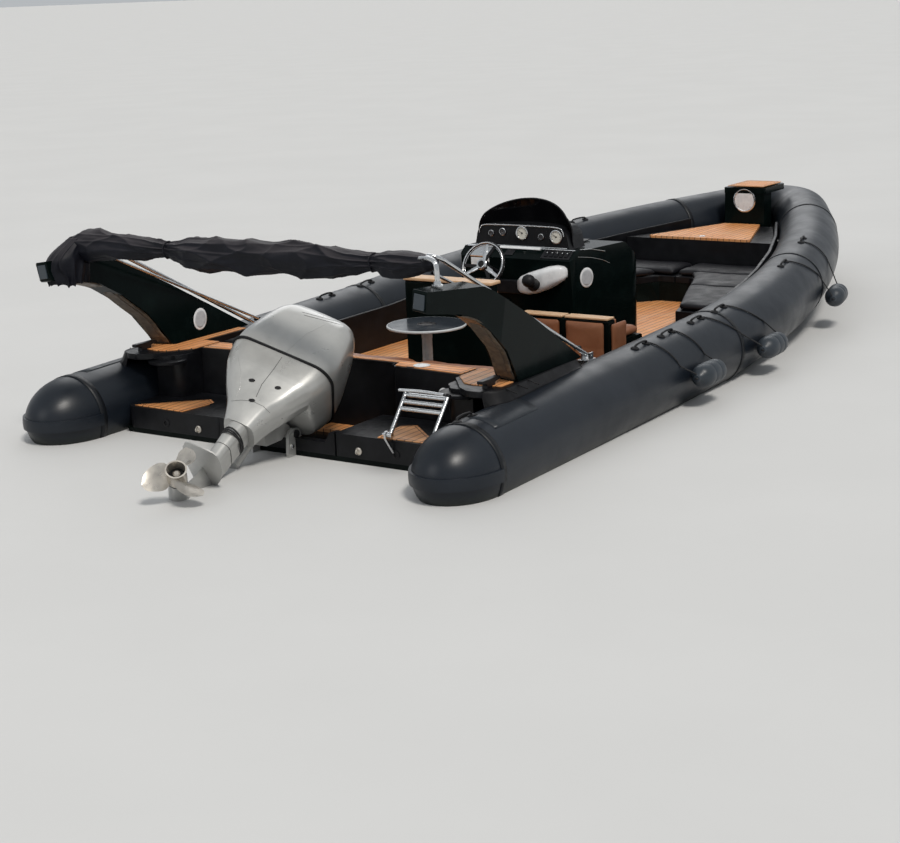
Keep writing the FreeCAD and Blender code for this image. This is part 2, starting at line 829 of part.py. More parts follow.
INNER_EDGE = WING + 5
FORE_EDGE = S["bulkhead_front_x"] + 10
DECK_AFT = S["deck_aft_x"]
DECK_END = S["deck_fore_x"]
side_deck = new_body("side_deck_port")
sketch = new_sketch(side_deck, "XY_Plane", "side_deck_outline", DECK_TOP - S["deck_thickness"])
outline(sketch, [(DECK_AFT + 255, INNER_EDGE), (DECK_AFT + 55, INNER_EDGE + 160, 30),
                 (DECK_AFT, INNER_EDGE + 240, 60), (DECK_AFT, SPREAD - 40, 120),
                 (DECK_AFT + 305, SPREAD - 40, 60), (DECK_END, SPREAD - 70),
                 (DECK_END + 100, INNER_EDGE + 190, 40), (DECK_END + 100, WALL_Y - 62),
                 (FORE_EDGE, WALL_Y - 62), (FORE_EDGE, INNER_EDGE)])
pad(side_deck, sketch, S["deck_thickness"])
sketch = new_sketch(side_deck, "XY_Plane", "side_deck_pedestal", S["platform_height"])
outline(sketch, [(S["platform_length"], INNER_EDGE), (S["pedestal_x"], INNER_EDGE, S["pedestal_corner"] * 0.6),
                 (S["pedestal_x"], WALL_Y), (FORE_EDGE - 2, WALL_Y), (FORE_EDGE - 2, INNER_EDGE)])
pad(side_deck, sketch, DECK_TOP - S["platform_height"] - S["deck_thickness"] / 2)
sketch = new_sketch(side_deck, "XY_Plane", "side_deck_rim",
                    DECK_TOP - S["deck_thickness"] * 2.2)
outline(sketch, [(S["platform_length"], INNER_EDGE), (DECK_AFT + 80, INNER_EDGE + 60, 60),
                 (DECK_AFT + 80, WALL_Y), (FORE_EDGE - 2, WALL_Y), (FORE_EDGE - 2, INNER_EDGE)])
pad(side_deck, sketch, S["deck_thickness"] * 1.7)
keep(side_deck, mirrored("side_deck_starboard", side_deck))

# Arch fins, leaning outboard from the side decks
FIN_PROFILE = (
    # share of the length aft of the foot, then shares of the height: height, corner radius
    (0, -0.03, 0),
    (0.24, 0.318, 0),
    (0.427, 0.586, 0),
    (0.55, 0.743, 0.177),
    (0.661, 0.886, 0.089),
    (0.719, 0.947, 0.089),
    (0.807, 0.962, 0),
    (1, 1, 0.018),
    (0.994, 0.824, 0.03),
    (0.889, 0.786, 0),
    (0.772, 0.718, 0),
    (0.661, 0.554, 0.295),
    (0.556, 0.344, 0),
    (0.491, 0.134, 0.177),
    (0.45, -0.03, 0),
)
FIN_HEIGHT = S["fin_height"]
FIN_FOOT = S["fin_foot_x"]
FIN_ROOT = FIN_FOOT - S["fin_length"] * 0.45
fin = new_body("fin_blade")
sketch = new_sketch(fin, "XZ_Plane", "fin_profile")
corners = []
for aft, up, rounding in FIN_PROFILE:
    corner = (FIN_FOOT - S["fin_length"] * aft, FIN_HEIGHT * up)
    corners.append(corner + (FIN_HEIGHT * rounding,) if rounding else corner)
outline(sketch, corners)
pad(fin, sketch, S["fin_thickness"], reverse=True)
sketch = new_sketch(fin, "XY_Plane", "fin_taper")
TAPER_START = FIN_FOOT - S["fin_length"] * 0.6
FIN_TIP = FIN_FOOT - S["fin_length"] * 1.02
outline(sketch, [(TAPER_START, S["fin_thickness"]), (FIN_TIP, S["fin_tip_thickness"]),
                 (FIN_TIP, S["fin_thickness"] * 1.4), (TAPER_START, S["fin_thickness"] * 1.4)])
pocket(fin, sketch, FIN_HEIGHT * 4, symmetric=True)
place(fin, (0, SPREAD - S["fin_inset"], DECK_TOP), (-1, 0, 0), S["fin_lean"])
fin_base = box("fin_base_block", (DECK_AFT, INNER_EDGE, DECK_TOP - FIN_HEIGHT * 0.2),
               (FIN_FOOT * 1.2, SPREAD * 1.2, DECK_TOP))
fin_port = cut("fin_port", fin, fin_base)
keep(fin_port, mirrored("fin_starboard", fin_port))

BOLLARD_PROFILE = (
    # share of half the length, shares of the height: height, corner radius
    (-0.47, 0, 0),
    (0.47, 0, 0),
    (0.4, 0.5, 0.17),
    (1, 0.64, 0.12),
    (1, 1, 0.17),
    (-1, 1, 0.17),
    (-1, 0.64, 0.12),
    (-0.4, 0.5, 0.17),
)


BOLLARD_X = FIN_ROOT - S["bollard_gap"] - S["bollard_length"] / 2


def bollard(name, side):
    """A low mooring post with two horns."""
    corners = []
    for along, up, rounding in BOLLARD_PROFILE:
        corner = (BOLLARD_X + S["bollard_length"] / 2 * along, DECK_TOP + S["bollard_height"] * up)
        corners.append(corner + (S["bollard_height"] * rounding,) if rounding else corner)
    return plate(name, "XZ_Plane", corners, (SPREAD - S["bollard_inset"]) * -side, S["bollard_width"],
                 symmetric=True)


keep(group("bollards", [bollard("bollard_port", 1), bollard("bollard_starboard", -1)]))

# Bow seats, deck box and step
SEAT_SHARES = (0.332, 0.427, 0.57)
SEAT_END = forward(0.664)


def bow_seat_outline(gap):
    bend, end = S["footwell_bend_half"], S["footwell_end_half"]
    corners = [(SEAT_START + gap, S["footwell_aft_half"] + gap), (WELL_BEND, bend + gap),
               (WELL_END, end + gap), (WELL_END, gap), (SEAT_END - gap, gap),
               (SEAT_END - gap, inboard(SEAT_END, SEAT_GAP + gap))]
    for share in reversed(SEAT_SHARES):
        corners.append((forward(share), inboard(forward(share), SEAT_GAP + gap)))
    corners.append((SEAT_START + gap, inboard(SEAT_START, SEAT_GAP + gap)))
    return corners


seat = new_body("bow_seat_port")
sketch = new_sketch(seat, "XY_Plane", "bow_seat_outline", SOLE)
outline(sketch, bow_seat_outline(S["sole_clearance"]))
pad(seat, sketch, S["seat_height"] - SOLE)
below_flange(seat, "bow_seat_bottom")
keep(seat, mirrored("bow_seat_starboard", seat))

cushion = plate("bow_cushion_port", "XY_Plane", bow_seat_outline(S["cushion_inset"]), S["seat_height"],
                S["cushion_thickness"])
keep(group("bow_cushions", [cushion, mirrored("bow_cushion_starboard", cushion)]))

STEP_AFT = BOW_FACE - S["step_length"] - S["step_clearance"] * 2
BOX_START = SEAT_END + S["step_clearance"]
BOX_END = STEP_AFT - S["step_clearance"] * 2
BOX_MIDDLE = forward(0.783)
bow_box = new_body("bow_box")
sketch = new_sketch(bow_box, "XY_Plane", "bow_box_outline")
half = [(BOX_START, 0)]
for x in (BOX_START, BOX_MIDDLE, BOX_END):
    half.append((x, inboard(x, SEAT_GAP)))
half.append((BOX_END, 0))
outline(sketch, both_sides(half))
pad(bow_box, sketch, S["bow_deck_height"])
below_flange(bow_box, "bow_box_bottom")
sketch = new_sketch(bow_box, "XY_Plane", "bow_box_hold", S["bow_deck_height"] - S["locker_depth"])
HOLD_START = BOX_START + S["locker_aft_wall"]
HOLD_END = BOX_END - S["locker_fore_wall"]
outline(sketch, both_sides([(HOLD_START, 0),
                            (HOLD_START, S["lid_aft_half"] - S["locker_side_wall"], S["locker_corner"]),
                            (HOLD_END, S["lid_fore_half"] - S["locker_side_wall"] / 2, S["locker_corner"]),
                            (HOLD_END, 0)]))
pocket(bow_box, sketch, S["bow_deck_height"], reverse=True)
keep(bow_box)

# Locker lid with its hinge barrel along the fore edge
BARREL = S["lid_barrel_radius"]
LID_TOP = S["bow_deck_height"] + S["lid_thickness"]
LID_END = STEP_AFT - 35
LID_AXIS = (LID_END + BARREL * 0.9, LID_TOP - BARREL - 1)
lid_board = plate("bow_lid_board", "XY_Plane",
                  [(BOX_START + 8, -S["lid_aft_half"], 30), (LID_END, -S["lid_fore_half"], 20),
                   (LID_END, S["lid_fore_half"], 20), (BOX_START + 8, S["lid_aft_half"], 30)],
                  S["bow_deck_height"], S["lid_thickness"])
barrel = cylinder("bow_lid_barrel", BARREL, S["lid_fore_half"] * 1.4,
                  (LID_AXIS[0], S["lid_fore_half"] * 0.7, LID_AXIS[1]), (1, 0, 0), 90)
keep(fuse("bow_lid", [lid_board, barrel]))

STEP_HALF = S["step_half_width"]
step = new_body("bow_step")
sketch = new_sketch(step, "XY_Plane", "bow_step_post")
outline(sketch, [(STEP_AFT + 5, -STEP_HALF + 10), (STEP_AFT + 170, -STEP_HALF + 15),
                 (STEP_AFT + 360, -STEP_HALF / 2), (STEP_AFT + 360, STEP_HALF / 2),
                 (STEP_AFT + 170, STEP_HALF - 15), (STEP_AFT + 5, STEP_HALF - 10)])
pad(step, sketch, NOSE_TOP + S["step_clearance"])
below_flange(step, "bow_step_bottom")
sketch = new_sketch(step, "XY_Plane", "bow_step_top", NOSE_TOP)
STEP_FORE = STEP_AFT + S["step_length"]
outline(sketch, [(STEP_AFT, -STEP_HALF, 20), (STEP_FORE, -STEP_HALF, 60), (STEP_FORE, STEP_HALF, 60),
                 (STEP_AFT, STEP_HALF, 20)])
pad(step, sketch, S["step_thickness"])
keep(step)

# Console, wheel and seats
CONSOLE_X = S["console_x"]
CONSOLE_HALF = S["console_half_width"]
CONSOLE_TOP = S["console_height"]
CONSOLE_PROFILE = (
    # share of the length forward, share of the height over the sole, corner radius as that share
    (0.026, 0, 0),
    (1, 0, 0),
    (0.961, 0.333, 0.256),
    (0.828, 0.731, 0.256),
    (0.595, 0.985, 0.077),
    (0.078, 1, 0),
    (0, 0.923, 0),
)
corners = []
for along, up, rounding in CONSOLE_PROFILE:
    corner = (CONSOLE_X + S["console_length"] * along, SOLE + (CONSOLE_TOP - SOLE) * up)
    corners.append(corner + ((CONSOLE_TOP - SOLE) * rounding,) if rounding else corner)
side_view = plate("console_side", "XZ_Plane", corners, 0, CONSOLE_HALF * 3, symmetric=True)
CONSOLE_AFT = CONSOLE_X - 10
CONSOLE_FORE = CONSOLE_X + S["console_length"] * 1.01
plan_view = plate("console_plan", "XY_Plane",
                  both_sides([(CONSOLE_AFT, 0), (CONSOLE_AFT, CONSOLE_HALF, 50),
                              (CONSOLE_X + S["console_length"] * 0.74, CONSOLE_HALF * 1.11, 200),
                              (CONSOLE_FORE, CONSOLE_HALF * 0.63, 150), (CONSOLE_FORE, 0)]),
                  SOLE, CONSOLE_TOP)
console = common("console", [side_view, plan_view])
keep(console)

POD_X = CONSOLE_X + 100
POD_HALF = S["pod_half_width"]
POD_TOP = CONSOLE_TOP + S["pod_height"]
gauge_pod = plate("gauge_pod", "YZ_Plane",
                  [(-POD_HALF, CONSOLE_TOP), (POD_HALF, CONSOLE_TOP),
                   (POD_HALF * 0.94, CONSOLE_TOP + S["pod_height"] * 0.7, 60),
                   (POD_HALF * 0.8, POD_TOP, 60), (-POD_HALF * 0.8, POD_TOP, 60),
                   (-POD_HALF * 0.94, CONSOLE_TOP + S["pod_height"] * 0.7, 60)],
                  POD_X, S["pod_length"])
SCREEN_PLAN = (
    # share of the depth forward, share of the half width
    (0, 1),
    (0.36, 0.96),
    (0.75, 0.7),
    (0.95, 0.37),
    (1, 0),
)
SCREEN_FRONT = (
    # share of the half width, shares of the height: height, corner radius
    (1, 0, 0),
    (0.98, 0.5, 0.45),
    (0.62, 1, 0.5),
)
SCREEN_HALF = S["screen_half_width"]
screen_plan = new_body("windscreen_plan")
sketch = new_sketch(screen_plan, "XY_Plane", "windscreen_outline", CONSOLE_TOP)
rows = []
for grow in (0, 1):
    rows.append([(S["screen_x"] + (S["screen_depth"] + S["screen_thickness"] * grow) * ahead,
                  (SCREEN_HALF + S["screen_thickness"] * grow) * out if out else 0)
                 for ahead, out in SCREEN_PLAN])
inner_line, outer_line = rows
outline(sketch, inner_line + [(x, -y) for x, y in inner_line[-2::-1]]
        + [(x, -y) for x, y in outer_line] + outer_line[-2::-1])
pad(screen_plan, sketch, S["screen_height"] * 1.2)
sides = []
for out, up, rounding in SCREEN_FRONT:
    corner = ((SCREEN_HALF + S["screen_thickness"] + 1) * out, CONSOLE_TOP + S["screen_height"] * up)
    sides.append(corner + (S["screen_height"] * rounding,) if rounding else corner)
screen_front = plate("windscreen_front", "YZ_Plane",
                     [(-c[0],) + tuple(c[1:]) for c in sides[:1]] + sides
                     + [(-c[0],) + tuple(c[1:]) for c in sides[:0:-1]],
                     CONSOLE_X, S["console_length"] / 2)
screen_whole = common("windscreen_whole", [screen_plan, screen_front])
windscreen = cut("windscreen", screen_whole, gauge_pod)
keep(gauge_pod, windscreen)

WHEEL = (S["wheel_x"], S["wheel_y"], S["wheel_height"])
rim = doc.addObject("Part::Torus", "wheel_rim")
drive(rim, "Radius1", S["wheel_radius"])
drive(rim, "Radius2", S["wheel_rim_radius"])
HUB_HALF = S["wheel_rim_radius"] * 2
hub = cylinder("wheel_hub", S["column_radius"] * 1.6, HUB_HALF * 2, (0, 0, -HUB_HALF))
spokes = []
for count in range(3):
    spoke = box("wheel_spoke_%d" % count, (0, -11, -5), (S["wheel_radius"], 11, 5))
    place(spoke, (0, 0, 0), (0, 0, 1), 90 + 120 * count)
    spokes.append(spoke)
wheel = fuse("steering_wheel", [rim, hub] + spokes)
place(wheel, WHEEL, (0, -1, 0), 90 - S["wheel_tilt"])
COLUMN_START = HUB_HALF + 5
column_rod = cylinder("wheel_column_rod", S["column_radius"], S["column_length"],
                      (S["wheel_x"] + COLUMN_START * cosine(S["wheel_tilt"]), S["wheel_y"],
                       S["wheel_height"] - COLUMN_START * sine(S["wheel_tilt"])),
                      (0, 1, 0), 90 + S["wheel_tilt"])
keep(wheel, cut("wheel_column", column_rod, console))

HELM_X = S["helm_x"]
HELM_END = HELM_X + S["helm_length"]
HELM_BACK = HELM_X + S["helm_back"]
PAD = S["pad_clearance"]
helm = plate("helm_seat", "XZ_Plane",
             [(HELM_X, SOLE), (HELM_END, SOLE), (HELM_END, S["helm_seat_height"], 20),
              (HELM_BACK, S["helm_seat_height"]), (HELM_BACK, S["helm_back_height"] - 20, 15),
              (HELM_X, S["helm_back_height"] - 20, 15)],
             -S["helm_y"], S["helm_width"], symmetric=True)
HELM_PAD = S["helm_seat_height"] + PAD
HELM_PAD_TOP = HELM_PAD + S["helm_cushion_thickness"]
helm_cushion = plate("helm_cushion", "XZ_Plane",
                     [(HELM_BACK + 12, HELM_PAD), (HELM_END + 5, HELM_PAD, 20),
                      (HELM_END + 5, HELM_PAD_TOP, 25), (HELM_BACK + 60, HELM_PAD_TOP, 25),
                      (HELM_BACK + 50, S["helm_back_height"] - 60, 15),
                      (HELM_BACK + 12, S["helm_back_height"] - 60, 15)],
                     -S["helm_y"], S["helm_width"] - 20, symmetric=True)
keep(helm, helm_cushion)

MATE_X = S["companion_x"]
MATE_END = MATE_X + S["companion_length"]
MATE_SEAT = S["companion_seat_height"]
companion = plate("companion_seat", "XZ_Plane",
                  [(MATE_X + 30, SOLE), (MATE_END, SOLE), (MATE_END, MATE_SEAT, 20),
                   (MATE_X + 110, MATE_SEAT), (MATE_X + 80, S["companion_back_height"], 15),
                   (MATE_X, S["companion_back_height"], 15)],
                  -S["companion_y"], S["companion_width"], symmetric=True)
MATE_PAD = MATE_SEAT + PAD
MATE_PAD_TOP = MATE_PAD + S["companion_cushion_thickness"]
companion_cushion = plate("companion_cushion", "XZ_Plane",
                          [(MATE_X + 122, MATE_PAD), (MATE_END - 2, MATE_PAD, 15),
                           (MATE_END - 2, MATE_PAD_TOP, 25), (MATE_X + 160, MATE_PAD_TOP, 20),
                           (MATE_X + 145, S["companion_back_height"] - 10, 15),
                           (MATE_X + 102, S["companion_back_height"] - 10, 15)],
                          -S["companion_y"], S["companion_width"] - 20, symmetric=True)
keep(companion, companion_cushion)

BENCH_X = S["bench_x"]
BENCH_END = BENCH_X + S["bench_length"]
bench = plate("aft_bench", "XZ_Plane",
              [(BENCH_X, SOLE), (BENCH_END, SOLE), (BENCH_END, S["bench_height"], 20),
               (BENCH_X, S["bench_height"])],
              0, S["bench_width"], symmetric=True)
BENCH_PAD = S["bench_height"] + PAD
BENCH_PAD_TOP = BENCH_PAD + S["bench_cushion_thickness"]
bench_cushion = plate("bench_cushion", "XZ_Plane",
                      [(BENCH_X + 6, BENCH_PAD), (BENCH_END + 5, BENCH_PAD, 20),
                       (BENCH_END + 5, BENCH_PAD_TOP, 30), (BENCH_X + 6, BENCH_PAD_TOP, 20)],
                      0, S["bench_width"] - 40, symmetric=True)
keep(bench, bench_cushion)

TABLE = (S["table_x"], S["table_y"])
LEAF = S["table_thickness"]
post = cylinder("table_post", S["table_post_radius"], S["table_height"] - SOLE - LEAF / 2,
                (TABLE[0], TABLE[1], SOLE))
foot = cylinder("table_foot", S["table_foot_radius"], LEAF, (TABLE[0], TABLE[1], SOLE))
leaf = cylinder("table_disc", S["table_radius"], LEAF, (TABLE[0], TABLE[1], S["table_height"] - LEAF))
keep(fuse("table", [foot, post, leaf]))


# Fenders hung along the starboard tube
def fender(name, x, y, z, turn):
    radius = S["fender_radius"]
    straight = S["fender_length"] - radius * 2
    body = new_body(name)
    sketch = new_sketch(body, "XZ_Plane", name + "_half")
    outline(sketch, [(-straight / 2 - radius, 0), (-straight / 2 - radius, radius * 0.45, radius * 0.27),
                     (-straight / 2, radius, radius * 0.8), (straight / 2, radius, radius * 0.8),
                     (straight / 2 + radius, radius * 0.45, radius * 0.27),
                     (straight / 2 + radius, 0)])
    turned = body.newObject("PartDesign::Revolution", name + "_turned")
    turned.Profile = sketch
    turned.ReferenceAxis = (sketch, ["H_Axis"])
    turned.Angle = 360
    sketch.Visibility = False
    place(body, (x, y, z), (0, 0, 1), turn)
    return body


SIDE_Y = -SPREAD - RADIUS - S["fender_radius"] - S["fender_gap"]
FENDERS = (
    # name, x, height, turn to the tube's line, extra distance from the centre line
    ("fender_aft", S["knee_x"] * 0.755, RADIUS * 0.83, 0, 0),
    ("fender_middle", forward(0.072), RADIUS * 0.8, 2, 0),
    ("fender_bow", forward(0.47), RADIUS * 1.01, 13, 12),
)
fenders = []
for name, x, z, turn, out in FENDERS:
    drop = curve_drop(x) if number(x) > number(S["knee_x"]) else 0
    fenders.append(fender(name, x, SIDE_Y + drop - out, z, turn))
keep(group("fenders", fenders))

# Stowed sunshade: two nested bows and their cloth in its boot
PIN = S["pin_radius"]
PIN_BORE = PIN + S["pin_clearance"]


def shade_leg(name):
    """A bow's leg: straight from the pivot, turning inboard into the boot."""
    body = new_body(name)
    dx = SHADE_X - PIVOT_X
    dz = SHADE_Z - PIVOT_Z
    length = root(dx * dx + dz * dz)
    profile = new_sketch(body, "XY_Plane", name + "_section", -S["bow_tube_radius"])
    circle_sketch(profile, 0, 0, S["bow_tube_radius"])
    spine = new_sketch(body, "YZ_Plane", name + "_line")
    bend = S["bow_bend"]
    line_path(spine, (0, -S["bow_tube_radius"]), (0, length - bend))
    arc_path(spine, (-bend, length), (0, length - bend), bend, (-bend, length - bend))
    pipe(body, profile, spine)
    lean = Size(math.degrees(math.atan2(-number(dx), number(dz))),
                "atan2(%s; %s)" % (words(-1 * dx), words(dz)))
    place(body, (PIVOT_X, BOW_HALF, PIVOT_Z), (0, -1, 0), lean)
    eye = cylinder(name + "_eye", PIN_BORE, S["bow_tube_radius"] * 4,
                   (PIVOT_X, BOW_HALF + S["bow_tube_radius"] * 2, PIVOT_Z), (1, 0, 0), 90)
    return cut(name + "_bored", body, eye)


leg = shade_leg("shade_leg")
keep(group("sunshade_bow", [leg, mirrored("shade_leg_starboard", leg)]))

BOOT_HALF = BOW_HALF - S["bow_bend"] - 6
boot = cylinder("sunshade_boot", S["boot_radius"], BOOT_HALF * 2 / cosine(S["boot_slope"]),
                (SHADE_X - 5, BOOT_HALF,
                 SHADE_Z - S["boot_drop"] - BOOT_HALF * tangent(S["boot_slope"])),
                (1, 0, 0), 90 - S["boot_slope"])
keep(boot)


def saddle(name):
    """A pad that fits the tube, with two cheeks and a pin for the bow's eye."""
    x, half_length, half_width = PIVOT_X, S["saddle_length"] / 2, S["saddle_width"] / 2
    base_top = PIVOT_Z - S["bow_tube_radius"] * 1.5 - S["saddle_clearance"]
    parts = [box(name + "_base", (x - half_length, BOW_HALF - half_width, PIVOT_Z - RADIUS / 2),
                 (x + half_length, BOW_HALF + half_width, base_top))]
    for index, low in enumerate((-S["cheek_gap"] - S["cheek_thickness"], S["cheek_gap"])):
        parts.append(box("%s_cheek_%d" % (name, index), (x - 22, BOW_HALF + low, base_top - 6),
                         (x + 22, BOW_HALF + low + S["cheek_thickness"], PIVOT_Z + 18)))
    reach = S["cheek_gap"] + S["cheek_thickness"] + 2
    parts.append(cylinder(name + "_pin", PIN, reach * 2, (x, BOW_HALF + reach, PIVOT_Z), (1, 0, 0), 90))
    tube = cylinder(name + "_tube", RADIUS + 0.5, S["saddle_length"] * 3,
                    (x - S["saddle_length"] * 1.5, SPREAD, tube_centre(x - S["saddle_length"] * 1.5)),
                    (0, 1, 0), 90 - S["stern_slope"])
    return cut(name, fuse(name + "_solid", parts), tube)


saddle_port = saddle("saddle_port")
keep(group("sunshade_mounts", [saddle_port, mirrored("saddle_starboard", saddle_port)]))

# Boarding ladder, folded up over the starboard platform, its rungs drawn together at the top
LADDER_HALF = S["ladder_half_width"]
RAIL = S["ladder_tube_radius"]
RUNG_SHARES = (0.62, 0.78, 0.94)
ladder_tubes = []
for name, side in (("ladder_rail_outer", -1), ("ladder_rail_inner", 1)):
    ladder_tubes.append(cylinder(name, RAIL, S["ladder_length"], (0, LADDER_HALF * side, 0)))
for count, share in enumerate(RUNG_SHARES):
    ladder_tubes.append(cylinder("ladder_rung_%d" % count, RAIL, LADDER_HALF * 2,
                                 (0, LADDER_HALF, S["ladder_length"] * share), (1, 0, 0), 90))
EYE_HALF = RAIL * 1.2
for name, side in (("ladder_eye_outer", -1), ("ladder_eye_inner", 1)):
    ladder_tubes.append(cylinder(name, RAIL * 1.2, EYE_HALF * 2, (0, LADDER_HALF * side + EYE_HALF, 0),
                                 (1, 0, 0), 90))
ladder_solid = fuse("ladder_solid", ladder_tubes)
ladder_bore = cylinder("ladder_bore", PIN_BORE, LADDER_HALF * 3, (0, LADDER_HALF * 1.5, 0), (1, 0, 0), 90)
ladder = cut("ladder", ladder_solid, ladder_bore)
place(ladder, (S["ladder_x"], S["ladder_y"], S["ladder_height"]), (0, 1, 0), 90 - S["ladder_rise"])
keep(ladder)
BRACKET_Y = LADDER_HALF + EYE_HALF + S["ladder_clearance"] + S["bracket_thickness"] / 2
brackets = []
EYE_X, EYE_Z = S["ladder_x"], S["ladder_height"]
for name, side in (("ladder_bracket_outer", -1), ("ladder_bracket_inner", 1)):
    y = S["ladder_y"] + BRACKET_Y * side
    cheek = plate(name + "_plate", "XZ_Plane",
                  [(-3, EYE_Z - 125), (-3, EYE_Z - 55), (EYE_X + 18, EYE_Z + 18, 12),
                   (EYE_X - 18, EYE_Z + 18, 12), (EYE_X - 18, EYE_Z - 20, 15), (EYE_X + 18, EYE_Z - 70)],
                  -y, S["bracket_thickness"], symmetric=True)
    reach = S["bracket_thickness"] / 2 + S["ladder_clearance"] + EYE_HALF
    pin = cylinder(name + "_pin", PIN, reach * 2, (EYE_X, y + reach, EYE_Z), (1, 0, 0), 90)
    brackets.append(fuse(name, [cheek, pin]))
keep(group("ladder_brackets", brackets))

# Outboard motor, drawn upright about its tilt axis, then steered and tilted
TILT_X = S["tilt_x"]
TILT_Z = S["tilt_height"]
CLAMP_TOP = S["transom_height"] + 1
clamps = []
for name, side in (("clamp_port", -1), ("clamp_starboard", 1)):
    clamps.append(plate(name, "XZ_Plane",
                        [(-2, -300), (-2, CLAMP_TOP), (TILT_X + 61, CLAMP_TOP),
                         (TILT_X + 61, TILT_Z - 8, 10), (TILT_X + 35, TILT_Z + 28, 15),
                         (TILT_X - 20, TILT_Z + 35, 18), (TILT_X - 55, TILT_Z, 25),
                         (TILT_X - 67, -20), (TILT_X - 67, -300, 20)],
                        S["clamp_spacing"] * side, S["clamp_thickness"], symmetric=True))
TUBE_HALF = S["clamp_spacing"] + S["clamp_thickness"]
tilt_tube = cylinder("tilt_tube", S["tilt_tube_radius"], TUBE_HALF * 2, (TILT_X, TUBE_HALF, TILT_Z),
                     (1, 0, 0), 90)
keep(fuse("clamp_bracket", clamps + [tilt_tube]))

STEER = -S["steer_offset"]


def steered(item, height=0):
    """Turn an upright motor part about the steering axis."""
    place(item, (STEER - STEER * cosine(S["steer_angle"]), -STEER * sine(S["steer_angle"]), height),
          (0, 0, 1), S["steer_angle"])
    return item


def tilted(name, items):
    """Tilt upright motor parts up about the tilt axis."""
    item = group(name, items)
    place(item, (TILT_X, 0, TILT_Z), (0, 1, 0), S["tilt_angle"])
    return item


swivel_tube = cylinder("swivel_tube", S["swivel_radius"], 380, (STEER, 0, -400))
arms = plate("swivel_arms", "XZ_Plane",
             [(STEER - 10, -20), (STEER - 10, -170), (-80, -190), (-12, -70), (-12, -28), (24, -20, 8),
              (30, 0, 8), (24, 22, 8), (-30, 32)],
             0, S["swivel_half_width"] * 2, symmetric=True)
swivel_body = fuse("swivel_solid", [swivel_tube, arms])
swivel_bore = cylinder("swivel_bore", S["tilt_tube_radius"] + S["pin_clearance"],
                       S["swivel_half_width"] * 3, (0, S["swivel_half_width"] * 1.5, 0), (1, 0, 0), 90)
keep(tilted("swivel_bracket", [cut("swivel_cut", swivel_body, swivel_bore)]))

PROP_Z = -S["propeller_depth"]
PLATE_Z = -S["plate_depth"]
LEG_Y = S["leg_half_width"]
HUB = S["hub_radius"]
PAN_BOTTOM = S["seam_height"] - S["pan_depth"]
LEG_FRONT = STEER - S["leg_lead"]
LEG_BACK = LEG_FRONT - S["leg_chord"]
CORNER = S["leg_corner"]
TAIL = LEG_BACK - S["plate_tail"]
PLATE_HALF = S["plate_half_width"]
leg_solid = new_body("leg_column")
sketch = new_sketch(leg_solid, "XY_Plane", "leg_section", PLATE_Z)
outline(sketch, [(LEG_FRONT, -LEG_Y, CORNER), (LEG_FRONT, LEG_Y, CORNER), (LEG_BACK, LEG_Y, CORNER),
                 (LEG_BACK, -LEG_Y, CORNER)])
pad(leg_solid, sketch, PAN_BOTTOM - PLATE_Z - S["leg_clearance"])
sketch = new_sketch(leg_solid, "XY_Plane", "leg_plate", PLATE_Z - LEG_Y / 10)
LIP = LEG_FRONT + LEG_Y / 5
outline(sketch, [(LIP, -LEG_Y * 1.4, CORNER * 0.75), (LIP, LEG_Y * 1.4, CORNER * 0.75),
                 (LEG_BACK - LEG_Y * 0.3, PLATE_HALF, CORNER * 1.5), (TAIL, PLATE_HALF * 0.88, CORNER),
                 (TAIL, PLATE_HALF * -0.88, CORNER), (LEG_BACK - LEG_Y * 0.3, -PLATE_HALF, CORNER * 1.5)])
pad(leg_solid, sketch, S["plate_thickness"])
sketch = new_sketch(leg_solid, "XY_Plane", "leg_yoke", -S["yoke_depth"])
YOKE_FRONT = STEER + S["yoke_lead"]
YOKE_BACK = STEER - S["yoke_tail"]
outline(sketch, [(YOKE_FRONT, -LEG_Y, CORNER * 0.75), (YOKE_FRONT, LEG_Y, CORNER * 0.75),
                 (YOKE_BACK, LEG_Y), (YOKE_BACK, -LEG_Y)])
pad(leg_solid, sketch, S["yoke_thickness"])
SKEG_Z = PROP_Z - S["skeg_depth"]
strut = plate("leg_strut", "XZ_Plane",
              [(LEG_FRONT - LEG_Y / 10, PLATE_Z + LEG_Y / 10), (LEG_BACK - LEG_Y * 1.3, PLATE_Z + LEG_Y / 10),
               (LEG_BACK - LEG_Y * 0.9, PROP_Z), (LEG_BACK - LEG_Y * 3.1, SKEG_Z, CORNER * 0.375),
               (LEG_BACK + LEG_Y / 2, SKEG_Z, CORNER * 0.375), (LEG_FRONT - LEG_Y * 0.6, PROP_Z - LEG_Y * 0.4)],
              0, S["strut_thickness"], symmetric=True)
GEAR_NOSE = STEER - S["gearcase_lead"]
CASE = HUB + S["gearcase_margin"]
torpedo = cylinder("leg_torpedo", CASE, S["gearcase_length"], (GEAR_NOSE, 0, PROP_Z), (0, -1, 0), 90)
tip = doc.addObject("Part::Ellipsoid", "leg_tip")
drive(tip, "Radius1", HUB * 1.8)
drive(tip, "Radius2", CASE)
drive(tip, "Radius3", CASE)
tip.Angle1 = 0
place(tip, (GEAR_NOSE, 0, PROP_Z), (0, 1, 0), 90)
leg_whole = steered(fuse("leg_whole", [leg_solid, strut, torpedo, tip]))
keep(tilted("motor_leg", [leg_whole]))

WIDE = S["cowl_half_width"]
LONG = S["cowl_length"]
SEAM_BACK = 50 - LONG


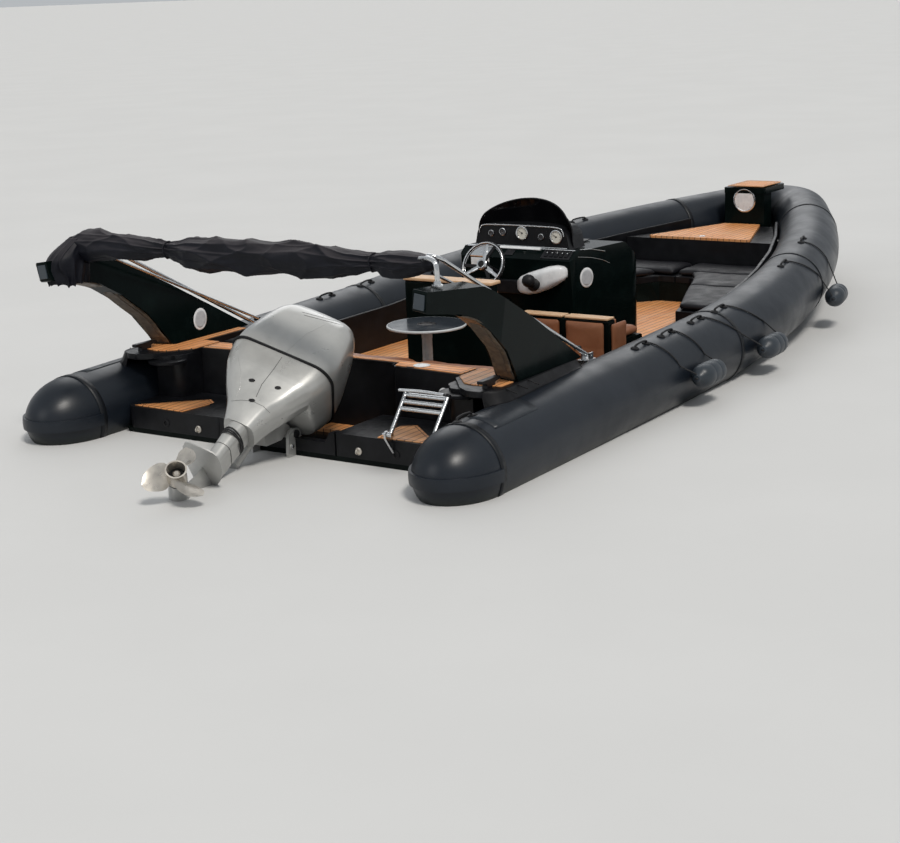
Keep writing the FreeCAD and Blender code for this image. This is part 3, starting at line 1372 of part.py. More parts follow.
def shell(name, sections, base, rise):
    """A ruled loft through rounded rectangles at shares of the rise over a base height."""
    body = new_body(name)
    sketches = []
    for index, (up, back, front, half, front_round, back_round) in enumerate(sections):
        sketch = new_sketch(body, "XY_Plane", "%s_at_%d" % (name, index), base + rise * up)
        x0, x1, y = SEAM_BACK + LONG * back, SEAM_BACK + LONG * front, WIDE * half
        near, far = WIDE * front_round, WIDE * back_round
        outline(sketch, [(x0, -y, far), (x1, -y, near), (x1, y, near), (x0, y, far)])
        sketches.append(sketch)
    feature = body.newObject("PartDesign::AdditiveLoft", name + "_loft")
    feature.Profile = sketches[0]
    feature.Sections = sketches[1:]
    feature.Ruled = True
    for sketch in sketches:
        sketch.Visibility = False
    return steered(body)


PAN_SECTIONS = (
    # share of the rise; shares of the length: back, front; shares of the half width:
    # half width, front rounding, back rounding
    (0, 0.154, 0.521, 0.293, 0.154, 0.154),
    (0.224, 0.098, 0.502, 0.432, 0.216, 0.216),
    (0.429, 0.051, 0.492, 0.633, 0.34, 0.247),
    (0.653, 0.013, 0.464, 0.827, 0.463, 0.309),
    (0.718, 0.008, 0.925, 0.88, 0.401, 0.324),
    (1, 0, 1, 1, 0.494, 0.37),
)
COWL_SECTIONS = (
    (0, 0, 1, 1, 0.494, 0.37),
    (0.47, 0.056, 0.953, 0.889, 0.509, 0.34),
    (0.75, 0.126, 0.868, 0.778, 0.463, 0.324),
    (0.91, 0.239, 0.756, 0.664, 0.37, 0.278),
    (1, 0.398, 0.624, 0.463, 0.247, 0.185),
)
pan = shell("pan_shell", PAN_SECTIONS, PAN_BOTTOM, S["pan_depth"])
keep(tilted("motor_pan", [pan]))
cowl = shell("cowl_shell", COWL_SECTIONS, S["seam_height"] + S["cowl_gap"],
             S["cowl_height"] - S["cowl_gap"])
keep(tilted("motor_cowl", [cowl]))

SCREW_X = LEG_BACK - S["screw_gap"]
BLADE_PROFILE = (
    # shares of the propeller radius: along the hub, out from it, corner radius
    (-0.147, 0.158, 0),
    (0.158, 0.158, 0),
    (0.41, 0.55, 0.21),
    (0.326, 0.93, 0.236),
    (0.026, 1, 0.158),
    (-0.274, 0.86, 0.236),
    (-0.316, 0.5, 0.21),
)
TIP = S["propeller_radius"]
screw = new_body("propeller_screw")
sketch = new_sketch(screw, "YZ_Plane", "propeller_hub", SCREW_X - 94)
circle_sketch(sketch, 0, 0, HUB)
pad(screw, sketch, 98)
blade_sketch = new_sketch(screw, "YZ_Plane", "propeller_blade", 0)
blade_sketch.AttachmentOffset = FreeCAD.Placement(Vector(0, 0, number(SCREW_X) - 52),
                                                  Rotation(Vector(0, 1, 0), 28))
drive(blade_sketch, "AttachmentOffset.Base.z", SCREW_X - 52)
corners = []
for along, out, rounding in BLADE_PROFILE:
    corner = (TIP * along, TIP * out)
    corners.append(corner + (TIP * rounding,) if rounding else corner)
outline(blade_sketch, corners)
pad(screw, blade_sketch, S["blade_thickness"], symmetric=True)
doc.recompute()
pattern = screw.newObject("PartDesign::PolarPattern", "propeller_pattern")
pattern.Originals = [screw.Tip]
axis = [f for f in screw.Origin.OriginFeatures if f.Role == "X_Axis"][0]
pattern.Axis = (axis, [""])
pattern.Angle = 360
pattern.Occurrences = 3
screw.Tip = pattern
bore_sketch = new_sketch(screw, "YZ_Plane", "propeller_outlet", SCREW_X - 94)
circle_sketch(bore_sketch, 0, 0, HUB * 0.7)
pocket(screw, bore_sketch, 60, reverse=True)
steered(screw, PROP_Z)
keep(tilted("propeller", [screw]))

doc.recompute()

# Checks and files
faults = []
for item in doc.Objects:
    if "Invalid" in item.State or "Error" in item.State:
        faults.append("%s %s" % (item.Name, item.State))
for item in NODES:
    if item.Shape.isNull() or not item.Shape.isValid():
        faults.append("%s has no valid shape" % item.Label)
if faults:
    raise RuntimeError("; ".join(faults))

os.makedirs("parts", exist_ok=True)
for item in NODES:
    item.Shape.exportStep(os.path.join("parts", item.Label + ".step"))
    print(item.Label, len(item.Shape.Solids), round(item.Shape.Volume / 1e6, 2))
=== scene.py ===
import math
import random

import bmesh
import bpy
from mathutils import Matrix, Vector, noise
from mathutils.bvhtree import BVHTree


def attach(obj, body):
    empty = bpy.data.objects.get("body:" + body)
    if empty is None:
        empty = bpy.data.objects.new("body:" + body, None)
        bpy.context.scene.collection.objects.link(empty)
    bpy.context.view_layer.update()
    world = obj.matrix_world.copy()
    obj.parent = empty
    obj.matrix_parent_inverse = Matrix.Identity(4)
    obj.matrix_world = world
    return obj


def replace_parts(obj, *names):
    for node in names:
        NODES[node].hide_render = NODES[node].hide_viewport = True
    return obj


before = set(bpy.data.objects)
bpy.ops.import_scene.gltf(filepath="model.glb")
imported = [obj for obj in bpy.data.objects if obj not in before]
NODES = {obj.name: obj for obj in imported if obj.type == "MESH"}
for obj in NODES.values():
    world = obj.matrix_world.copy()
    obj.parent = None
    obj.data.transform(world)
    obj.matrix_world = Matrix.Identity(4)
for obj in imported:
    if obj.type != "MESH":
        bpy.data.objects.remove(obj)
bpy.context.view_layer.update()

SIDES = ((1, "port"), (-1, "starboard"))
random.seed(7)

# Camera at the photograph's viewpoint
EYE = Vector((-7.70, -6.44, 2.606))
YAW, PITCH, ROLL = math.radians(34.08), math.radians(13.84), math.radians(-2.2)
FOCAL_PX, PHOTO_WIDE_PX, PHOTO_HIGH_PX, SENSOR_MM = 1762.0, 900, 843, 36.0
view_axis = Vector((math.cos(YAW) * math.cos(PITCH), math.sin(YAW) * math.cos(PITCH), -math.sin(PITCH)))
rightward = Vector((math.sin(YAW), -math.cos(YAW), 0.0))
upward = rightward.cross(view_axis)
axis_x = rightward * math.cos(ROLL) + upward * math.sin(ROLL)
axis_y = upward * math.cos(ROLL) - rightward * math.sin(ROLL)
camera_data = bpy.data.cameras.new("camera")
camera_data.lens = FOCAL_PX / PHOTO_WIDE_PX * SENSOR_MM
camera_data.sensor_width = SENSOR_MM
camera_data.clip_end = 1500
camera = bpy.data.objects.new("camera", camera_data)
camera.matrix_world = Matrix((
    (axis_x.x, axis_y.x, -view_axis.x, EYE.x),
    (axis_x.y, axis_y.y, -view_axis.y, EYE.y),
    (axis_x.z, axis_y.z, -view_axis.z, EYE.z),
    (0, 0, 0, 1)))
bpy.context.scene.collection.objects.link(camera)
bpy.context.scene.camera = camera
bpy.context.scene.view_settings.view_transform = "Standard"


# Material building blocks
def feed(tree, socket, value):
    """Links a socket to another node's output, or gives it a value."""
    if hasattr(value, "is_linked"):
        tree.links.new(value, socket)
    else:
        if socket.type == "RGBA" and len(value) == 3:
            value = tuple(value) + (1.0,)
        socket.default_value = value


class Finish:
    """A principled material with helpers for noise, bump and mixing."""

    def __init__(self, name, colour, rough=0.5, metal=0.0, **inputs):
        self.m = bpy.data.materials.new(name)
        self.m.use_nodes = True
        self.t = self.m.node_tree
        self.b = self.t.nodes["Principled BSDF"]
        self.set("Base Color", colour)
        self.set("Roughness", rough)
        self.set("Metallic", metal)
        for key, value in inputs.items():
            self.set(key.replace("_", " "), value)
        self.coords = self.t.nodes.new("ShaderNodeTexCoord").outputs["Object"]
        self.height = None

    def set(self, key, value):
        """Feeds an input of the principled shader."""
        feed(self.t, self.b.inputs[key], value)

    def add(self, kind, inputs=None, **props):
        """A new node with its inputs fed and its own settings set."""
        n = self.t.nodes.new("ShaderNode" + kind)
        for key, value in props.items():
            setattr(n, key, value)
        for key, value in (inputs or {}).items():
            feed(self.t, n.inputs[key], value)
        return n

    def noise(self, scale, detail=3.0, stretch=(1, 1, 1), rough=0.55, warp=0.0):
        vector = self.add("Mapping", {"Vector": self.coords, "Scale": stretch}).outputs[0]
        return self.add("TexNoise", {"Vector": vector, "Scale": scale, "Detail": detail,
                                     "Roughness": rough, "Distortion": warp}).outputs["Fac"]

    def ramp(self, fac, low, high):
        """Black up to low, white from high."""
        n = self.add("ValToRGB", {"Fac": fac})
        n.color_ramp.elements[0].position = low
        n.color_ramp.elements[1].position = high
        return n.outputs["Color"]

    def mix(self, fac, a, b):
        return self.add("Mix", {0: fac, 6: a, 7: b}, data_type="RGBA", blend_type="MIX").outputs[2]

    def math(self, kind, a, b=0.0):
        return self.add("Math", {0: a, 1: b}, operation=kind).outputs[0]

    def bump(self, fac, strength=0.2, distance=0.002):
        inputs = {"Height": fac, "Strength": strength, "Distance": distance}
        if self.height is not None:
            inputs["Normal"] = self.height
        self.height = self.add("Bump", inputs).outputs["Normal"]
        self.t.links.new(self.height, self.b.inputs["Normal"])

    def vary(self, colour, other, scale, low=0.4, high=0.65):
        """Mottles the base colour between two colours."""
        self.set("Base Color", self.mix(self.ramp(self.noise(scale, 4.0), low, high), colour, other))

    def rough_range(self, scale, low, high, detail=4.0):
        """Lets the roughness wander between two values."""
        n = self.add("MapRange", {"Value": self.noise(scale, detail), "From Min": 0.3,
                                  "From Max": 0.7, "To Min": low, "To Max": high})
        self.set("Roughness", n.outputs[0])

    def xyz(self):
        return self.add("SeparateXYZ", {"Vector": self.coords}).outputs


def tube_fabric():
    """Dusty coated fabric, stained near the waterline."""
    f = Finish("tube_fabric", (0.009, 0.012, 0.017), 0.42, Specular_IOR_Level=0.34)
    z = f.xyz()[2]
    dust = f.ramp(f.noise(2.2, 6.0, (0.5, 1, 1)), 0.42, 0.72)
    base = f.mix(dust, (0.0065, 0.0095, 0.0145), (0.0125, 0.0165, 0.0235))
    wet = f.add("MapRange", {"Value": f.math("ADD", z, f.math("MULTIPLY", f.noise(9.0, 3.0), 0.05)),
                             "From Min": 0.02, "From Max": 0.09, "To Min": 0.0, "To Max": 1.0})
    stain = f.mix(f.ramp(f.noise(30.0, 5.0, (1, 1, 3)), 0.35, 0.7), (0.005, 0.008, 0.007),
                  (0.013, 0.018, 0.014))
    f.set("Base Color", f.mix(wet.outputs[0], stain, base))
    f.rough_range(5.0, 0.30, 0.46)
    f.bump(f.noise(420.0, 2.0), 0.10, 0.0006)
    f.bump(f.noise(3.0, 2.0), 0.10, 0.006)
    return f.m


# The default colour's green tint is a painted reflection of the water round the boat.
def gloss_black(name="gloss_black", colour=(0.0018, 0.0042, 0.0040), rough=0.12):
    f = Finish(name, colour, rough, Specular_IOR_Level=0.06)
    f.vary(colour, tuple(c * 1.9 + 0.0006 for c in colour), 7.0, 0.5, 0.8)
    f.rough_range(14.0, rough, rough + 0.10, 6.0)
    f.bump(f.noise(5.0, 2.0), 0.04, 0.004)
    return f.m


def satin_black(name="satin_black", colour=(0.0035, 0.0038, 0.0050), rough=0.36):
    f = Finish(name, colour, rough, Specular_IOR_Level=0.24)
    f.vary(colour, tuple(c * 1.8 + 0.0010 for c in colour), 10.0, 0.45, 0.75)
    f.rough_range(18.0, rough - 0.08, rough + 0.14, 6.0)
    f.bump(f.noise(260.0, 2.0), 0.12, 0.0006)
    return f.m


PLANK = 0.052
FIRST_ROW = 100.5


def teak(name="teak", along="x"):
    """Oiled planks with dark caulking, running fore and aft or athwart."""
    f = Finish(name, (0.45, 0.20, 0.08), 0.5)
    x, y, _ = f.xyz()
    across = y if along == "x" else x
    row = f.math("ADD", f.math("DIVIDE", across, PLANK), FIRST_ROW)
    cell = f.math("FLOOR", row)
    inside = f.math("FRACT", row)
    seam = f.math("LESS_THAN", f.math("ABSOLUTE", f.math("SUBTRACT", inside, 0.5)), 0.45)
    tone = f.add("TexWhiteNoise", {"W": cell}, noise_dimensions="1D").outputs["Value"]
    stretch = (3.0, 60.0, 20.0) if along == "x" else (60.0, 3.0, 20.0)
    grain = f.noise(1.0, 6.0, stretch, 0.6, warp=0.6)
    patch = f.noise(3.5, 4.0)
    wood = f.mix(f.ramp(grain, 0.3, 0.7), (0.46, 0.165, 0.048), (0.70, 0.31, 0.105))
    wood = f.mix(f.math("MULTIPLY", tone, 0.45), wood, (0.78, 0.38, 0.15))
    wood = f.mix(f.ramp(patch, 0.5, 0.8), wood, (0.55, 0.30, 0.15))
    f.set("Base Color", f.mix(seam, (0.014, 0.012, 0.010), wood))
    f.rough_range(6.0, 0.42, 0.66)
    f.bump(seam, 0.5, 0.0015)
    f.bump(grain, 0.15, 0.0012)
    return f.m


def motor_paint(name="motor_paint", colour=(0.44, 0.44, 0.425)):
    f = Finish(name, colour, 0.3, 0.35, Coat_Weight=0.7, Coat_Roughness=0.12)
    f.vary(colour, tuple(c * 0.82 for c in colour), 6.0, 0.4, 0.75)
    f.rough_range(8.0, 0.26, 0.42)
    f.bump(f.noise(900.0, 1.0), 0.04, 0.0003)
    return f.m


def stainless():
    f = Finish("stainless", (0.62, 0.63, 0.64), 0.2, 1.0)
    f.rough_range(30.0, 0.12, 0.32, 5.0)
    f.bump(f.noise(300.0, 2.0), 0.03, 0.0004)
    return f.m


def leather(name, colour, other):
    """Fine-grained leathercloth."""
    f = Finish(name, colour, 0.5, Specular_IOR_Level=0.32)
    f.vary(colour, other, 5.0, 0.35, 0.7)
    cells = f.add("TexVoronoi", {"Vector": f.coords, "Scale": 420.0}).outputs["Distance"]
    f.bump(cells, 0.25, 0.0006)
    f.bump(f.noise(20.0, 3.0), 0.1, 0.002)
    f.rough_range(9.0, 0.42, 0.62)
    return f.m


def canvas():
    """Woven cloth, with a painted highlight where it faces up."""
    f = Finish("canvas", (0.008, 0.008, 0.011), 0.58, Specular_IOR_Level=0.22)
    shade = f.mix(f.ramp(f.noise(4.0, 4.0), 0.4, 0.75), (0.0020, 0.0025, 0.0056), (0.0044, 0.0052, 0.0100))
    facing = f.add("SeparateXYZ", {"Vector": f.add("NewGeometry").outputs["Normal"]}).outputs[2]
    # Painted highlight: faces that point up are mixed towards a pale grey-brown, standing in for sunlight on
    # the cloth's top.
    painted_sunlit_top = f.math("MULTIPLY", f.ramp(facing, 0.35, 0.95), 0.75)
    f.set("Base Color", f.mix(painted_sunlit_top, shade, (0.044, 0.039, 0.043)))
    u = f.add("TexWave", {"Vector": f.coords, "Scale": 320.0, "Distortion": 0.4},
              bands_direction="X").outputs["Fac"]
    v = f.add("TexWave", {"Vector": f.coords, "Scale": 320.0, "Distortion": 0.4},
              bands_direction="Z").outputs["Fac"]
    f.bump(f.math("MULTIPLY", u, v), 0.05, 0.0004)
    f.bump(f.noise(14.0, 5.0, (1, 1, 1), warp=1.5), 0.35, 0.006)
    return f.m


def smoked():
    f = Finish("smoked_screen", (0.0015, 0.0015, 0.0022), 0.08, Specular_IOR_Level=0.18)
    f.rough_range(12.0, 0.05, 0.16, 5.0)
    return f.m


M = {
    "tube": tube_fabric(), "gloss": gloss_black(), "satin": satin_black(), "teak": teak(),
    "motor": motor_paint(), "steel": stainless(), "canvas": canvas(), "smoked": smoked(),
    # The hull's green tint is a painted reflection of the water.
    "hull": gloss_black("hull_gelcoat", (0.0032, 0.0050, 0.0046), 0.18),
    "brown": leather("brown_leather", (0.175, 0.066, 0.030), (0.235, 0.098, 0.048)),
    "grey": leather("grey_leather", (0.0030, 0.0032, 0.0052), (0.0065, 0.0066, 0.0092)),
    "rubber": satin_black("rubber", (0.0055, 0.0055, 0.0065), 0.5),
}
NODES_BY_LOOK = {
    "hull": ("hull",),
    "teak": ("cockpit_sole", "bow_lid"),
    "tube": ("tube_aft_port", "tube_aft_starboard", "cone_port", "cone_starboard", "tube_forward_port",
             "tube_forward_starboard", "tube_bow"),
    "gloss": ("fin_port", "fin_starboard", "bow_step", "console", "helm_seat", "companion_seat"),
    "smoked": ("windscreen",),
    "rubber": ("wheel_column", "steering_wheel", "fenders"),
    "brown": ("helm_cushion", "companion_cushion", "bench_cushion"),
    "grey": ("bow_cushions",),
    "canvas": ("sunshade_boot",),
    "steel": ("sunshade_mounts", "sunshade_bow", "ladder", "ladder_brackets"),
    "motor": ("clamp_bracket", "swivel_bracket", "motor_leg", "motor_pan", "motor_cowl"),
    "steel_warm": ("propeller",),
    "light_plastic": ("table",),
}
LOOK = {node: look for look, nodes in NODES_BY_LOOK.items() for node in nodes}


def plain(name, colour, rough, other=None, metal=0.0, scale=20.0, **inputs):
    """A painted or moulded finish with a little wear."""
    f = Finish(name, colour, rough, metal, **inputs)
    f.vary(colour, other or tuple(c * 0.8 for c in colour), scale, 0.4, 0.75)
    f.rough_range(scale * 1.6, max(0.05, rough - 0.08), rough + 0.1, 5.0)
    f.bump(f.noise(scale * 12, 2.0), 0.05, 0.0004)
    return f.m


def bronze(name, colour, other):
    """Worn, mottled lining of the fins' undersides."""
    f = Finish(name, colour, 0.45, 0.25)
    stain = f.ramp(f.noise(9.0, 8.0, (1, 1, 2.5), warp=1.2), 0.35, 0.68)
    f.set("Base Color", f.mix(stain, colour, other))
    f.rough_range(22.0, 0.35, 0.7, 6.0)
    f.bump(f.noise(60.0, 5.0), 0.25, 0.0012)
    return f.m


def laid_rope():
    """Dark rope with slanting strands."""
    f = Finish("rope", (0.02, 0.02, 0.022), 0.75)
    lay = f.add("TexWave", {"Vector": f.coords, "Scale": 180.0, "Distortion": 0.6},
                bands_direction="DIAGONAL").outputs["Fac"]
    f.set("Base Color", f.mix(lay, (0.004, 0.004, 0.005), (0.020, 0.020, 0.022)))
    f.rough_range(40.0, 0.62, 0.85)
    f.bump(lay, 0.6, 0.0015)
    return f.m


M.update({
    "seam": plain("tube_seam", (0.0055, 0.0070, 0.0095), 0.46, Specular_IOR_Level=0.3),
    "patch": plain("glued_patch", (0.017, 0.021, 0.027), 0.36, (0.023, 0.027, 0.033), scale=12.0,
                   Specular_IOR_Level=0.34),
    "fender": plain("fender_vinyl", (0.022, 0.029, 0.037), 0.40, (0.034, 0.042, 0.052), scale=10.0,
                    Specular_IOR_Level=0.4),
    "rope": laid_rope(),
    "bronze": bronze("fin_bronze", (0.17, 0.125, 0.085), (0.050, 0.042, 0.034)),
    "bronze_dark": bronze("fin_bronze_dark", (0.085, 0.066, 0.050), (0.14, 0.105, 0.075)),
    "slate": plain("fin_end_slate", (0.030, 0.040, 0.050), 0.20, (0.020, 0.028, 0.036), scale=6.0),
    "white": plain("white_plastic", (0.72, 0.73, 0.74), 0.3, (0.60, 0.61, 0.62)),
    "badge_field": plain("badge_field", (0.45, 0.46, 0.48), 0.4, (0.36, 0.37, 0.39), scale=60.0),
    # Darker motor paint, used as painted shade along the motor's creases.
    "motor_shade": motor_paint("motor_shade", (0.36, 0.36, 0.35)),
    "dark_line": plain("dark_line", (0.06, 0.06, 0.06), 0.6),
    "steel_warm": plain("propeller_steel", (0.60, 0.56, 0.50), 0.32, (0.42, 0.39, 0.35), 0.85, 14.0),
    "teak_across": teak("teak_across", "y"),
    "wood": plain("light_board", (0.50, 0.31, 0.17), 0.42, (0.60, 0.40, 0.24), scale=7.0),
    "light_plastic": plain("light_plastic", (0.55, 0.57, 0.58), 0.3, (0.44, 0.46, 0.47)),
    "table_skin": plain("table_skin", (0.030, 0.036, 0.045), 0.10, (0.060, 0.070, 0.082), scale=5.0),
    "dark_plastic": plain("dark_plastic", (0.0065, 0.0065, 0.0080), 0.28, (0.012, 0.012, 0.014),
                          Specular_IOR_Level=0.3),
    "dial": plain("gauge_dial", (0.66, 0.64, 0.57), 0.35, (0.56, 0.54, 0.47), scale=40.0),
    "dial_dark": plain("gauge_dial_dark", (0.05, 0.05, 0.055), 0.3, (0.08, 0.08, 0.085), scale=40.0),
    "needle": plain("gauge_needle", (0.05, 0.03, 0.02), 0.4),
})

# Every other node is satin black
for name, item in NODES.items():
    material = M[LOOK.get(name, "satin")]
    for slot in item.material_slots:
        slot.material = material
    if not item.material_slots:
        item.data.materials.append(material)

# Edges of the mouldings are rounded
EDGE = {
    "fin_port": 0.012, "fin_starboard": 0.012, "console": 0.075, "gauge_pod": 0.008,
    "helm_seat": 0.010, "companion_seat": 0.010, "aft_bench": 0.008, "aft_bulkhead": 0.010,
    "platform_port": 0.010, "platform_starboard": 0.010, "side_deck_port": 0.008,
    "side_deck_starboard": 0.008, "transom_wall": 0.006, "bow_seat_port": 0.010,
    "bow_seat_starboard": 0.010, "bow_box": 0.010, "bow_step": 0.012, "bow_lid": 0.004,
    "liner_aft_port": 0.006, "liner_aft_starboard": 0.006,
    "liner_fore_port": 0.006, "liner_fore_starboard": 0.006, "bollards": 0.008, "clamp_bracket": 0.004,
    "swivel_bracket": 0.006, "hull": 0.004,
}
for name, width in EDGE.items():
    weld = NODES[name].modifiers.new("weld", "WELD")
    weld.merge_threshold = 0.00005
    bevel = NODES[name].modifiers.new("edge", "BEVEL")
    bevel.width = width
    bevel.segments = 3
    bevel.limit_method = "ANGLE"
    bevel.angle_limit = math.radians(32)
    bevel.harden_normals = False
    bevel.use_clamp_overlap = True


# Mesh helpers
def piece(name, verts, faces, look, slot, body="boat", smooth=True, sharp=40.0):
    """One mesh in its look and on its body; its slot is not used."""
    mesh = bpy.data.meshes.new(name)
    mesh.from_pydata([tuple(v) for v in verts], [], faces)
    mesh.validate()
    shape = bmesh.new()
    shape.from_mesh(mesh)
    bmesh.ops.recalc_face_normals(shape, faces=shape.faces[:])
    shape.to_mesh(mesh)
    shape.free()
    if smooth:
        mesh.shade_smooth()
        mesh.set_sharp_from_angle(angle=math.radians(sharp))
    mesh.materials.append(M[look])
    item = bpy.data.objects.new(name, mesh)
    bpy.context.scene.collection.objects.link(item)
    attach(item, body)
    return item


def join_rings(rings, closed_ends=True, around=True):
    """Faces between rings of equal count, with a fan over each end."""
    count = len(rings[0])
    verts = [p for ring in rings for p in ring]
    faces = []
    for i in range(len(rings) - 1):
        for j in range(count if around else count - 1):
            k = (j + 1) % count
            faces.append((i * count + j, i * count + k, (i + 1) * count + k, (i + 1) * count + j))
    if closed_ends:
        for base, ring in ((0, rings[0]), ((len(rings) - 1) * count, rings[-1])):
            middle = sum((Vector(p) for p in ring), Vector()) / count
            verts.append(tuple(middle))
            for j in range(count):
                faces.append((base + j, base + (j + 1) % count, len(verts) - 1))
    return verts, faces


def circle(count, closing=0):
    """Angles of a full turn in even steps; closing=1 ends on the first again."""
    return [math.tau * k / count for k in range(count + closing)]


def grid_faces(cols, rows, first=0):
    """Faces over a grid of points that is cols faces wide and rows faces high."""
    wide = cols + 1
    return [(first + j * wide + i, first + j * wide + i + 1, first + (j + 1) * wide + i + 1,
             first + (j + 1) * wide + i) for j in range(rows) for i in range(cols)]


def skinned(item, lift):
    """Gives a sheet that lies on a surface a thickness."""
    skin = item.modifiers.new("skin", "SOLIDIFY")
    skin.thickness = lift + 0.001
    skin.offset = 0
    return item


def mirrored(half):
    """A plan outline from its half on the port side, which ends on the middle line."""
    return list(half) + [(x, -y) for x, y in half[-2:0:-1]]


def curve_through(points, steps=6):
    """A smooth line through the points."""
    if steps <= 1 or len(points) < 3:
        return [Vector(p) for p in points]
    pts = [Vector(p) for p in points]
    ends = [pts[0] * 2 - pts[1]] + pts + [pts[-1] * 2 - pts[-2]]
    line = []
    for i in range(1, len(ends) - 2):
        a, b, c, d = ends[i - 1:i + 3]
        for k in range(steps):
            t = k / steps
            line.append(0.5 * ((2 * b) + (c - a) * t + (2 * a - 5 * b + 4 * c - d) * t * t
                               + (3 * b - a - 3 * c + d) * t ** 3))
    line.append(pts[-1])
    return line


def tube_rings(line, radius, sides=10, squash=1.0, hint=(0, 0, 1)):
    """Rings square to a line; squash flattens them along the hint's direction."""
    rings = []
    normal = None
    for i, point in enumerate(line):
        ahead = line[min(i + 1, len(line) - 1)] - line[max(i - 1, 0)]
        ahead.normalize()
        if normal is None:
            normal = Vector(hint) - ahead * Vector(hint).dot(ahead)
            if normal.length < 0.05:
                normal = ahead.orthogonal()
        normal = (normal - ahead * normal.dot(ahead)).normalized()
        other = ahead.cross(normal)
        size = radius[i] if isinstance(radius, (list, tuple)) else radius
        rings.append([point + other * math.cos(a) * size + normal * math.sin(a) * size * squash
                      for a in circle(sides)])
    return rings


def rod(name, points, radius, look, slot, body="boat", steps=6, sides=10, squash=1.0, hint=(0, 0, 1)):
    """A round bar through the points."""
    rings = tube_rings(curve_through(points, steps), radius, sides, squash, hint)
    return piece(name, *join_rings(rings), look, slot, body, sharp=60)


def lathe(name, profile, centre, axis, look, slot, body="boat", sides=36, sharp=35):
    """A turned piece: (radius, height) pairs along an axis from a centre."""
    up = Vector(axis).normalized()
    u = up.orthogonal().normalized()
    v = up.cross(u)
    rings = [[Vector(centre) + up * h + (u * math.cos(a) + v * math.sin(a)) * max(r, 0.0002)
              for a in circle(sides)] for r, h in profile]
    return piece(name, *join_rings(rings), look, slot, body, sharp=sharp)


def rounded(item, width):
    """Rounds an item's edges."""
    bevel = item.modifiers.new("edge", "BEVEL")
    bevel.width = width
    bevel.segments = 3
    bevel.limit_method = "ANGLE"
    bevel.angle_limit = math.radians(30)
    return item


# Faces of a block whose corners are given in turn, four and four
BLOCK_FACES = [(0, 1, 2, 3), (4, 5, 6, 7), (0, 1, 5, 4), (1, 2, 6, 5), (2, 3, 7, 6), (3, 0, 4, 7)]


def slab(name, outline, z, thick, look, slot, edge=0.003):
    """A flat panel from a plan outline."""
    count = len(outline)
    verts = [(x, y, z) for x, y in outline] + [(x, y, z + thick) for x, y in outline]
    faces = [tuple(range(count)), tuple(range(count, 2 * count))]
    faces += [(k, (k + 1) % count, (k + 1) % count + count, k + count) for k in range(count)]
    return rounded(piece(name, verts, faces, look, slot, smooth=False), edge)


def brick(name, low, high, look, slot, edge=0.006):
    """A rounded block between two corners."""
    middle = (Vector(low) + Vector(high)) / 2
    half = (Vector(high) - Vector(low)) / 2
    corners = [Vector((sx * half.x, sy * half.y, sz * half.z))
               for sx in (-1, 1) for sy in (-1, 1) for sz in (-1, 1)]
    faces = [(0, 1, 3, 2), (4, 6, 7, 5), (0, 4, 5, 1), (2, 3, 7, 6), (0, 2, 6, 4), (1, 5, 7, 3)]
    return rounded(piece(name, [middle + c for c in corners], faces, look, slot, sharp=50), edge)


# Points on a surface, found along the photograph's lines of sight
def surface(*names):
    """A tree to cast rays at, over nodes or pieces as they show."""
    verts, faces = [], []
    graph = bpy.context.evaluated_depsgraph_get()
    for name in names:
        item = NODES[name] if name in NODES else bpy.data.objects[name]
        shown = item.evaluated_get(graph)
        mesh = shown.to_mesh()
        base = len(verts)
        verts += [item.matrix_world @ v.co for v in mesh.vertices]
        faces += [tuple(base + k for k in p.vertices) for p in mesh.polygons]
        shown.to_mesh_clear()
    return BVHTree.FromPolygons(verts, faces)


def sight(px, py):
    """Direction of the line of sight through a pixel of the photograph."""
    return (view_axis + axis_x * (px - PHOTO_WIDE_PX / 2) / FOCAL_PX
            - axis_y * (py - PHOTO_HIGH_PX / 2) / FOCAL_PX).normalized()


def pick(tree, px, py):
    """The point of a surface seen at a pixel, and its normal towards the camera."""
    place, normal, _, _ = tree.ray_cast(EYE, sight(px, py))
    if place is None:
        raise ValueError("nothing at %s %s" % (px, py))
    return place, normal if normal.dot(sight(px, py)) < 0 else -normal


def patch(name, tree, quad, look, slot, lift=0.002, grid=(8, 4), body="boat", oval=False):
    """A thin skin on a surface, inside four pixels given in turn, or the oval in them."""
    a, b, c, d = [Vector(p) for p in quad]
    cols, rows = grid
    verts = []
    for j in range(rows + 1):
        for i in range(cols + 1):
            u, v = i / cols, j / rows
            if oval:
                s, t = 2 * u - 1, 2 * v - 1
                s, t = s * math.sqrt(1 - t * t / 2), t * math.sqrt(1 - s * s / 2)
                u, v = (s + 1) / 2, (t + 1) / 2
            p = (a * (1 - u) + b * u) * (1 - v) + (d * (1 - u) + c * u) * v
            try:
                place, normal = pick(tree, p.x, p.y)
            except ValueError:
                continue
            verts.append(place + normal * lift)
    if len(verts) != (cols + 1) * (rows + 1):
        print("left out", name)
        return None
    return skinned(piece(name, verts, grid_faces(cols, rows), look, slot, body, sharp=50), lift)


def line_on(name, tree, pixels, radius, look, slot, body="boat", steps=8, squash=0.5):
    """A raised line on a surface through pixels of the photograph."""
    spots = [(x0 + (x1 - x0) * k / steps, y0 + (y1 - y0) * k / steps)
             for (x0, y0), (x1, y1) in zip(pixels, pixels[1:]) for k in range(steps)] + [pixels[-1]]
    found = [tree.ray_cast(EYE, sight(*spot))[0] for spot in spots]
    points = [p for p in found if p is not None]
    return rod(name, points, radius, look, slot, body, steps=1, sides=8, squash=squash)


# The tubes' line, as in the part's source
RADIUS, SPREAD, KNEE = 0.248, 1.44, Vector((2.8, 1.44, 0.212))
AFT_SLOPE, FORE_SLOPE, BOW_RADIUS = math.radians(1.72), math.radians(3.78), 8.6


